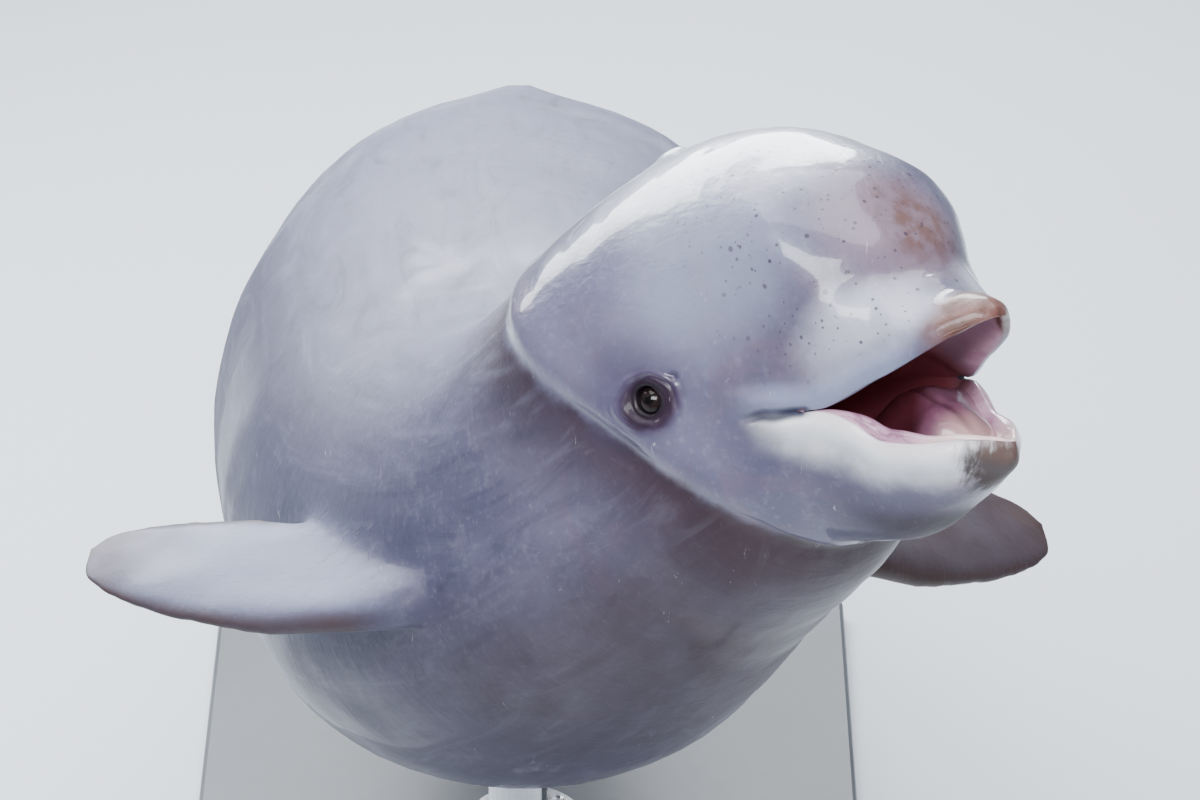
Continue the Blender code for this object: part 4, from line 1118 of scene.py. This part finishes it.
def skin_finish():
    skin = Finish(
        "wet_skin", Subsurface_Weight=0.10, Subsurface_Radius=(0.012, 0.006, 0.005),
        Subsurface_Scale=0.6, Coat_Roughness=0.07, Coat_IOR=1.36, IOR=1.40,
    )
    rest, folded, b, y, z = mirrored_rest(skin)
    here = skin.place()
    rise, lining, lower = skin.parts(skin.kept("mouth").outputs["Vector"])
    edge, share, finned = skin.parts(skin.kept("fin").outputs["Vector"])
    outer = 1 - lining

    # Grey flesh with a mauve cast, broad clouds and fine grain
    broad = skin.mottle(here, 3.2, 3.0, 0.55, 0.4)
    mid = skin.mottle(here, 14.0, 4.0, 0.6, 0.3)
    small = skin.mottle(here, 46.0, 4.0, 0.6)
    fine = skin.mottle(here, 130.0, 3.0, 0.6)
    tone = Tones(skin, broad.above(0.30, 0.72), (80, 79, 103), (108, 106, 132))
    tone.over(mid.above(0.50, 0.78) * 0.40, 78, 72, 96)
    tone.over(small.above(0.52, 0.76) * 0.25, 142, 138, 160)
    tone.over(fine.above(0.52, 0.80) * 0.20, 164, 162, 184)
    warm = skin.mottle(here, 8.0, 3.0, 0.6, 1.0).above(0.50, 0.66)
    tone.over(warm * 0.35 * b.above(0.60, 0.40), 122, 98, 118)

    # Painted shade: the trunk darker than the head, most of all below; painted highlight: paler along
    # the back
    behind = b - NECK_CREASE_SLANT * z - NECK_CREASE_BACK + 0.05 * (mid - 0.5)
    trunk = behind.above(-0.010, 0.040).most(b.above(0.60, 0.75))
    # painted shade: the whole trunk darker than the head
    tone.over(trunk * b.above(0.45, 0.95) * (0.55 + 0.45 * small), 58, 60, 82)
    # painted shadow: a dark band just behind the crease of the head
    crease = behind.above(-0.010, 0.010) * behind.above(0.140, 0.015) * outer * b.above(0.74, 0.55)
    tone.over(crease * (0.62 + 0.5 * mid), 52, 35, 45)
    # painted shade: the lower side of the trunk darker
    tone.over(trunk * z.above(-0.02, -0.24) * 0.60, 50, 50, 72)
    # painted highlight: the trunk paler along the back
    tone.over(trunk * z.above(0.14, 0.27) * 0.45, 124, 126, 150)
    weathered = skin.mottle(skin.scaled(rest, (5.0, 22.0, 22.0)), 1.0, 5.0, 0.65, 1.5)
    tone.over(trunk * weathered.above(0.48, 0.72) * 0.28, 132, 134, 156)
    tone.over(trunk * weathered.above(0.48, 0.32) * 0.34, 44, 46, 66)
    # painted shade under the neck, behind the head
    throat = lower * behind.above(-0.010, 0.010) * b.above(0.95, 0.45) * z.above(0.02, -0.10)
    tone.over(throat * (0.50 + 0.5 * mid), 54, 36, 42)

    # The melon: pale on top and at its sides, partly its own pale skin and partly a painted sky
    # highlight, flushed and rusty in front
    # pale top of the melon, partly a painted sky highlight
    crown = skin.from_point(rest, (0.21, -0.02, 0.26), (0.17, 0.16, 0.10)) + 0.6 * (mid - 0.5)
    tone.over(crown.above(1.2, 0.4) * 0.80, 204, 208, 222)
    # pale sides of the melon, partly a painted sky highlight
    temple = skin.from_point(folded, (0.20, 0.135, 0.150), (0.11, 0.07, 0.085)) + 0.5 * (mid - 0.5)
    tone.over(temple.above(1.3, 0.3) * 0.70, 158, 164, 188)
    flush = skin.from_point(rest, (0.082, -0.006, 0.125), (0.060, 0.090, 0.085)) + 0.5 * (small - 0.5)
    tone.over(flush.above(1.15, 0.45) * 0.75, 134, 114, 130)
    rust = skin.from_point(rest, (0.080, 0.020, 0.118), (0.038, 0.050, 0.062)) + 1.1 * (mid - 0.5)
    stain = rust.above(1.25, 0.35) * (0.30 + 0.70 * small.above(0.36, 0.60))
    tone.over(stain * 0.85, 98, 68, 60)

    # The pad of the upper lip, pale and partly a painted bluish sky reflection, and the bluish edge
    # behind it
    # the pad's own pale colour with a painted sky reflection over it
    pad = skin.from_point(folded, (0.090, 0.066, 0.044), (0.092, 0.062, 0.038)) + 0.8 * (mid - 0.5)
    pad = pad.above(1.25, 0.35) * (1 - lower)
    tone.over(pad * (0.60 + 0.35 * small), 198, 198, 216)
    behind_tip = b.above(0.050, 0.085) * b.above(0.250, 0.180)
    upper_edge = (1 - lower) * rise.above(0.034, 0.006) * behind_tip
    tone.over(upper_edge * (0.35 + 0.5 * mid), 150, 162, 192)

    # The tip of the upper lip, brown and rubbed
    tip = skin.from_point(rest, (0.018, 0.004, 0.010), (0.044, 0.070, 0.036)) + 1.1 * (mid - 0.5)
    tip = tip.above(1.25, 0.65) * (1 - lower)
    tone.over(tip * 0.88, 122, 82, 70)
    tone.over(tip * small.above(0.36, 0.64) * 0.75, 78, 44, 32)
    rim = (1 - lower) * abs(lining - 0.40).above(0.38, 0.10) * b.above(0.09, 0.05)

    # The lower lip, nearly white and partly a painted bluish sky reflection, and the dark worn chin
    # under it, with painted shade mixed into the wear under the jaw
    # nearly white lower lip, partly its own pale colour and partly a painted bluish sky reflection
    lip = lower * (rise + 0.030 * (mid - 0.5)).above(-0.054, -0.014) * b.above(0.240, 0.185)
    tone.over(lip * 0.95, 244, 246, 252)
    flush_below = lower * rise.above(-0.014, -0.002) * b.above(0.19, 0.15)
    tone.over(flush_below * 0.40, 236, 206, 212)
    streak = skin.mottle(skin.scaled(rest, (50.0, 150.0, 26.0)), 1.0, 4.0, 0.65, 0.6)
    chin = skin.from_point(rest, (0.020, 0.0, -0.026), (0.030, 0.046, 0.040))
    chin = chin + 1.1 * (streak - 0.5) + 0.9 * (small - 0.5)
    chin = chin.above(1.30, 0.60) * outer * lower
    tone.over(chin * 0.94, 48, 27, 20)
    chin_top = skin.from_point(rest, (0.014, 0.004, -0.006), (0.024, 0.036, 0.014))
    chin_top = chin_top + 0.9 * (streak - 0.5) + 0.8 * (small - 0.5)
    tone.over(chin_top.above(1.3, 0.5) * lower * outer * 0.30, 112, 74, 58)
    # dark under the jaw, partly worn brown skin and partly painted shade
    shade = lower * outer * b.above(0.21, 0.09) * rise.above(-0.045, -0.085)
    tone.over(shade * (0.55 + 0.7 * small), 50, 41, 46)

    # Corner of the mouth, tear pit, ear and blowhole
    droop = 0.006 * b.above(0.180, 0.206)
    slot = abs(rise + droop).above(0.0080, 0.0010) * b.above(0.168, 0.184) * b.above(0.240, 0.214)
    tone.over(slot * 0.85, 46, 46, 68)
    tear = skin.from_point(folded, tuple(TEAR_PIT), (1.15, 1.0, 0.85)).above(0.0080, 0.0020)
    ear = skin.from_point(folded, tuple(EAR)).above(0.004, 0.0015)
    tone.over(tear.most(ear) * 0.75, 64, 62, 88)
    hole = skin.from_point(rest, (BLOWHOLE_BACK - BLOWHOLE_RADIUS, 0.0, 0.29), (1.0, 1.0, 1000.0))
    hole = abs(hole - BLOWHOLE_RADIUS).above(0.006, 0.002) * b.above(0.298, 0.306) * z.above(0.20, 0.22)
    tone.over(hole * 0.8, 60, 56, 66)

    # Dark flesh round the eyes, in a wider mauve shade
    around = skin.from_point(folded, (0.322, 0.152, 0.080), (0.062, 1.0, 0.055)) + 0.7 * (mid - 0.5)
    tone.over(around.above(1.3, 0.3) * 0.60, 66, 59, 88)
    patch = skin.from_point(folded, (EYE_PATCH_BACK, EYE[1], EYE_PATCH_UP), (0.0275, 0.06, 0.0235))
    patch = patch + 0.35 * (small - 0.5) + 0.10 * (fine - 0.5)
    tone.over(patch.above(1.50, 0.85) * 0.92, 58, 38, 64)
    patch = patch.above(1.15, 0.80)
    tone.over(patch * 0.95, 36, 15, 38)
    lid = skin.from_point(folded, (LIDS_BACK, EYE[1], LIDS_UP), (0.0165, 0.06, 0.0165))
    tone.over(lid.above(1.12, 0.95) * 0.9, 22, 9, 22)

    # Small dark spots over the melon and the pad, and scattered scratches
    freckled = b.above(0.27, 0.12) * rise.above(0.015, 0.035) * (1 - lower)
    for scale, radius in SPOTS:
        cells = skin.node("ShaderNodeTexVoronoi", None, {"Vector": rest, "Scale": scale})
        drawn = skin.node("ShaderNodeSeparateColor", None, {0: cells.outputs["Color"]})
        size = Value(skin, drawn.outputs[0])
        spot = Value(skin, cells.outputs["Distance"]) + 0.08 * (fine - 0.5) - radius * size
        spot = spot.above(0.050, -0.040) * size.above(0.05, 0.20)
        tone.over(spot * freckled * 0.80, 60, 48, 66)
    hair = skin.mottle(skin.scaled(here, (14.0, 180.0, 60.0)), 1.0, 4.0, 0.7, 1.2)
    scratch = hair.above(0.66, 0.72) * mid.above(0.45, 0.60)
    tone.over(scratch * 0.30 * outer, 226, 226, 236)

    # Fins: paler blades, brown and worn at the edges, and painted shade that makes the left flipper
    # browner all over
    blade = finned * share.above(0.02, 0.22)
    tone.over(blade * edge.above(0.97, 0.70) * (0.35 + 0.6 * mid), 124, 130, 156)
    brown = edge.above(0.80, 0.99) * blade * (0.35 + 1.1 * mid)
    tipped = share.above(0.72, 0.98) * blade * mid.above(0.30, 0.60)
    tone.over(share.above(0.55, 1.0) * blade * 0.6, 76, 76, 100)
    tone.over(brown.most(tipped * 0.75) * 0.85, 70, 54, 54)
    # painted shade: the left flipper darkened brown all over
    left_flipper_shade = blade * b.above(1.5, 1.2) * y.above(0.0, 0.06)
    tone.over(left_flipper_shade * (0.55 + 0.5 * mid), 62, 44, 42)

    # Lining of the mouth: mauve, pink at the lips and peach in front, deep red in the throat
    depth = b - 0.55 * abs(y)
    inner = Tones(skin, small.above(0.35, 0.65), (170, 128, 148), (194, 156, 174))
    inner.over(rise.above(0.004, 0.016) * 0.80, 168, 136, 154)
    furrow = skin.mottle(skin.scaled(rest, (14.0, 150.0, 190.0)), 1.0, 3.0, 0.6, 0.8)
    far_corner = y.above(0.0, 0.02) * b.above(0.090, 0.130)
    inner_lip = lower * rise.above(-0.008, 0.001) * (1 - far_corner)
    inner.over(inner_lip * 0.85, 192, 144, 172)
    inner.over(inner_lip * furrow.above(0.46, 0.62) * 0.65, 122, 72, 102)
    front_floor = lower * b.above(0.095, 0.045)
    inner.over(front_floor * 0.75, 248, 220, 216)
    throat_red = depth.above(0.095, 0.150) * (1 - inner_lip * 0.8)
    inner.over(throat_red, 168, 88, 98)
    tone.cover(lining, inner)
    tone.over(rim * 0.45, 176, 136, 130)

    # Fine grain, pores and shallow wrinkles that run round the trunk
    grain = skin.bump(skin.mottle(here, 420.0, 3.0, 0.6), 0.0004, 0.35)
    ripple = skin.bump(small * outer, 0.0022, 0.35, below=grain)
    wrinkle = skin.mottle(skin.scaled(rest, (46.0, 9.0, 9.0)), 1.0, 4.0, 0.6, 1.4)
    wrinkled = skin.bump(wrinkle * outer * (0.25 + 0.75 * trunk), 0.0030, 0.40, below=ripple)
    net = abs(skin.mottle(here, 30.0, 2.0, 0.5, 0.6) - 0.5).above(0.0, 0.14)
    top = z.above(0.10, 0.22) * b.above(0.60, 0.40)
    beaded = skin.bump(net * outer * (0.20 + 0.80 * top), 0.0010, 0.32, below=wrinkled)
    drawn_out = skin.mottle(skin.scaled(rest, (16.0, 110.0, 70.0)), 1.0, 3.0, 0.6, 0.5)
    streaked = skin.bump(drawn_out * outer * top, 0.0026, 0.45, below=beaded)
    crumpled = skin.mottle(rest, 90.0, 5.0, 0.7, 0.15) * tip.most(chin)
    worn = skin.bump(crumpled, 0.0022, 0.50, below=streaked)
    coat = 0.65 + 0.5 * broad.above(0.35, 0.65) - 0.80 * trunk - 0.9 * patch
    coat = coat - 1.2 * shade - 0.5 * chin.most(tip)
    rough = 0.24 + 0.20 * mid - 0.04 * lining + 0.20 * trunk + 0.28 * patch + 0.22 * shade.most(chin)
    skin.feed(
        Base_Color=tone.mixed,
        Roughness=rough,
        Coat_Weight=coat.least(1.0).most(0.0),
        Normal=worn,
    )
    return skin.material


def tongue_finish():
    flesh = Finish(
        "tongue_flesh", Subsurface_Weight=0.15, Subsurface_Radius=(0.010, 0.004, 0.004),
        Subsurface_Scale=0.5, Coat_Weight=0.8, Coat_Roughness=0.12,
    )
    rest = flesh.kept("rest").outputs["Vector"]
    b, y, _ = flesh.parts(rest)
    cloud = flesh.mottle(rest, 40.0, 4.0, 0.6)
    tone = Tones(flesh, cloud.above(0.3, 0.7), (100, 58, 80), (124, 82, 102))
    tone.over(y.above(0.004, 0.045) * 0.60, 160, 112, 132)
    tone.over(abs(y).above(0.005, 0.0) * 0.60, 84, 36, 50)
    tone.over(b.above(0.092, 0.055) * 0.65, 222, 174, 168)
    # painted shadow: the near rear of the tongue darkened where it falls away into the throat
    depth = b - 0.75 * y + 0.012 * (cloud - 0.5)
    tone.over(depth.above(0.104, 0.138), 70, 26, 36)
    buds = flesh.node("ShaderNodeTexVoronoi", None, {"Vector": rest, "Scale": 620.0})
    height = flesh.bump(Value(flesh, buds.outputs["Distance"]), 0.0005, 0.3)
    flesh.feed(Base_Color=tone.mixed, Roughness=0.34 + 0.15 * cloud, Normal=height)
    return flesh.material


def eye_finish():
    wet = Finish("wet_eye", Coat_Weight=0.35, Coat_Roughness=0.03, IOR=1.36, Specular_IOR_Level=0.25)
    gaze = wet.kept("gaze").outputs["Vector"]
    reach = wet.from_point(gaze, (0.0, 0.0, 0.0), (1.0, 1.0, 1000.0))
    pupil = wet.from_point(gaze, (0.0, -0.0008, 0.0), (1.25, 0.85, 1000.0))
    rays = wet.mottle(wet.scaled(gaze, (300.0, 300.0, 40.0)), 1.0, 4.0, 0.6)
    tone = Tones(wet, rays.above(0.35, 0.7), (20, 13, 15), (40, 28, 28))
    tone.over(reach.above(0.0088, 0.0104), 22, 15, 18)
    tone.over(pupil.above(0.0046, 0.0038), 8, 6, 9)
    wet.feed(Base_Color=tone.mixed, Roughness=0.10 + 0.10 * rays)
    return wet.material


def metal_finish():
    steel = Finish("satin_steel", Metallic=1.0)
    here = steel.place()
    brush = steel.mottle(steel.scaled(here, (900.0, 900.0, 12.0)), 1.0, 3.0, 0.6)
    cloud = steel.mottle(here, 9.0, 3.0, 0.6)
    tone = Tones(steel, cloud.above(0.3, 0.7), (176, 178, 182), (196, 198, 200))
    height = steel.bump(brush, 0.0002, 0.3)
    steel.feed(Base_Color=tone.mixed, Roughness=0.26 + 0.14 * brush, Normal=height)
    return steel.material


def base_finish():
    paint = Finish("satin_paint", Coat_Weight=0.25, Coat_Roughness=0.3)
    here = paint.place()
    cloud = paint.mottle(here, 6.0, 4.0, 0.6)
    speck = paint.mottle(here, 700.0, 2.0, 0.5)
    tone = Tones(paint, cloud.above(0.3, 0.7), (66, 70, 76), (78, 82, 88))
    height = paint.bump(speck, 0.0003, 0.25)
    paint.feed(Base_Color=tone.mixed, Roughness=0.42 + 0.12 * cloud, Normal=height)
    return paint.material


# ---------------------------------------------------------------- stand fittings
def turned(name, outline, centre, sides=64):
    """A turned piece from an outline of radius and height pairs, closed."""
    angle = np.linspace(0.0, 2 * math.pi, sides + 1)[:-1]
    rings = np.array([[[r * math.cos(a), r * math.sin(a), h] for a in angle] for r, h in outline])
    return closed_rings(name, rings + np.array(centre))


FLANGE_RADIUS, FLANGE_THICK, COLLAR_HEIGHT = 0.080, 0.010, 0.036
FIT_GAP = 0.0004
SHARP_FROM = math.radians(35.0)
SCREW_RING, SCREW_HEIGHT, SCREWS = 0.062, 0.0095, 4
SCREW_OUTLINE = (
    (0.003, 0.0), (0.0085, 0.0), (0.0085, 0.003), (0.007, 0.0052), (0.0035, 0.0058), (0.003, 0.003),
)


def stand_fittings(steel):
    """A foot flange with a short collar round the foot of each rod, held by four screws."""
    made = []
    for name in ROD_BACKS:
        low, high = (np.array(corner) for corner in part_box(f"stand_rod_{name}"))
        x, y = ((low + high) / 2)[:2]
        radius = (high[0] - low[0]) / 2
        outline = [
            (radius + FIT_GAP, 0.0), (FLANGE_RADIUS - 0.002, 0.0), (FLANGE_RADIUS, 0.002),
            (FLANGE_RADIUS, FLANGE_THICK - 0.002), (FLANGE_RADIUS - 0.002, FLANGE_THICK),
            (radius + 0.014, 0.012), (radius + 0.010, 0.016), (radius + 0.008, COLLAR_HEIGHT - 0.002),
            (radius + 0.006, COLLAR_HEIGHT), (radius + FIT_GAP, COLLAR_HEIGHT),
        ]
        made.append(turned(f"stand_flange_{name}", outline, (x, y, low[2])))
        for k in range(SCREWS):
            turn = math.pi / 4 + 2 * math.pi * k / SCREWS
            across, along = SCREW_RING * math.cos(turn), SCREW_RING * math.sin(turn)
            at = (x + across, y + along, low[2] + SCREW_HEIGHT)
            made.append(turned(f"stand_screw_{name}_{k}", SCREW_OUTLINE, at, sides=32))
    for piece in made:
        piece.data.materials.append(steel)
        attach(piece, "root")
        for polygon in piece.data.polygons:
            polygon.use_smooth = True
        piece.data.set_sharp_from_angle(angle=SHARP_FROM)


# ---------------------------------------------------------------- making
def dress(piece, material, slot, *nodes):
    """Gives a piece its finish and lets it stand for the nodes named."""
    piece.data.materials.clear()
    piece.data.materials.append(material)
    piece.data.shade_smooth()
    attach(piece, "root")
    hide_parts(*nodes)


dress(
    join_fins(posed_skin()), skin_finish(), "skin",
    "head", "lower_jaw", "neck", "chest", "torso_front", "torso_rear", "tail_stock",
    "fluke_left", "fluke_right", "flipper_left", "flipper_right",
)
dress(tongue(), tongue_finish(), "mouth", "tongue")
eye_material = eye_finish()
for side in ("right", "left"):
    dress(eyeball(side), eye_material, "eye", f"eye_{side}")

steel = metal_finish()
stand_fittings(steel)
stand_finishes = {"stand_base": base_finish(), "stand_rod_front": steel, "stand_rod_rear": steel}
for node, material in stand_finishes.items():
    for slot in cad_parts[node].material_slots:
        slot.material = material


# ---------------------------------------------------------------- floor, lights and camera
def studio_floor():
    bpy.ops.mesh.primitive_plane_add(size=60.0, location=(0.0, 0.0, 0.0))
    floor = bpy.context.object
    floor.name = "studio_floor"
    plain = Finish("pale_floor", Roughness=0.7)
    tone = plain.mottle(plain.place(), 0.8, 2.0, 0.5)
    plain.feed(Base_Color=plain.blend(tone, srgb(206, 211, 217), srgb(210, 215, 221)))
    floor.data.materials.append(plain.material)
    floor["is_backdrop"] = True


# Place, width and length, power and colour of each light
LIGHTS = {
    "sky": ((-0.2, 0.0, 4.9), (4.4, 4.0), 280.0, (0.93, 0.97, 1.0)),
    "back": ((-2.7, -1.5, 3.0), (6.0, 2.1), 600.0, (0.92, 0.96, 1.0)),
    "front": ((3.7, -0.4, 4.6), (2.4, 1.5), 235.0, (0.94, 0.97, 1.0)),
    "fill": ((4.4, 3.4, 2.2), (2.4, 2.4), 55.0, (0.94, 0.97, 1.0)),
}
ROOM_COLOUR, ROOM_STRENGTH = (0.86, 0.91, 1.0, 1.0), 0.28


def soft_light(name, target, place, size, power, colour):
    data = bpy.data.lights.new(name, "AREA")
    data.shape, data.energy, data.color = "RECTANGLE", power, colour
    data.size, data.size_y = size
    lamp = bpy.data.objects.new(name, data)
    lamp.location = place
    lamp.rotation_euler = (Vector(target) - Vector(place)).to_track_quat("-Z", "Y").to_euler()
    lamp.visible_camera = False
    bpy.context.scene.collection.objects.link(lamp)


CAMERA_PITCH = math.radians(33.0)
IMAGE_WIDTH, IMAGE_HEIGHT = 1200.0, 800.0
SENSOR_WIDTH = 36.0
CORNER_PIXEL, CORNER_DEPTH = (884.0, 391.0), 4.4
PIXELS_PER_METRE = 1110.0
FOCAL = PIXELS_PER_METRE * CORNER_DEPTH


def camera():
    """Looks back and down at the animal, the corner of its mouth held at one point of the frame."""
    toward = np.array([math.cos(CAMERA_PITCH), 0.0, math.sin(CAMERA_PITCH)])
    right = np.array([0.0, 1.0, 0.0])
    up = np.cross(toward, right)
    held = SPINE.carry(np.array([[LIPS_PART, 0.0, 0.0]]))[0]
    offset = np.array([
        (CORNER_PIXEL[0] - IMAGE_WIDTH / 2) / FOCAL * CORNER_DEPTH,
        -(CORNER_PIXEL[1] - IMAGE_HEIGHT / 2) / FOCAL * CORNER_DEPTH,
        -CORNER_DEPTH,
    ])
    axes = np.stack([right, up, toward], 1)
    data = bpy.data.cameras.new("camera")
    data.sensor_width = SENSOR_WIDTH
    data.lens = FOCAL * SENSOR_WIDTH / IMAGE_WIDTH
    data.clip_start, data.clip_end = 0.05, 200.0
    eye = bpy.data.objects.new("camera", data)
    eye.matrix_world = Matrix.Translation(held - axes @ offset) @ Matrix(axes.tolist()).to_4x4()
    bpy.context.scene.collection.objects.link(eye)
    bpy.context.scene.camera = eye


studio_floor()
head_at = tuple(SPINE.carry(np.array([[0.2, 0.0, 0.05]]))[0])
for name, light in LIGHTS.items():
    soft_light(name, head_at, *light)
world = bpy.data.worlds.new("studio")
world.use_nodes = True
room = world.node_tree.nodes["Background"].inputs
room["Color"].default_value = ROOM_COLOUR
room["Strength"].default_value = ROOM_STRENGTH
bpy.context.scene.world = world
camera()


def plain(box):
    """The corners of a box as plain lists."""
    return [[float(value) for value in corner] for corner in box]


bpy.context.view_layer.update()
{"cad": plain(cad_box), "visual": plain(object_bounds())}
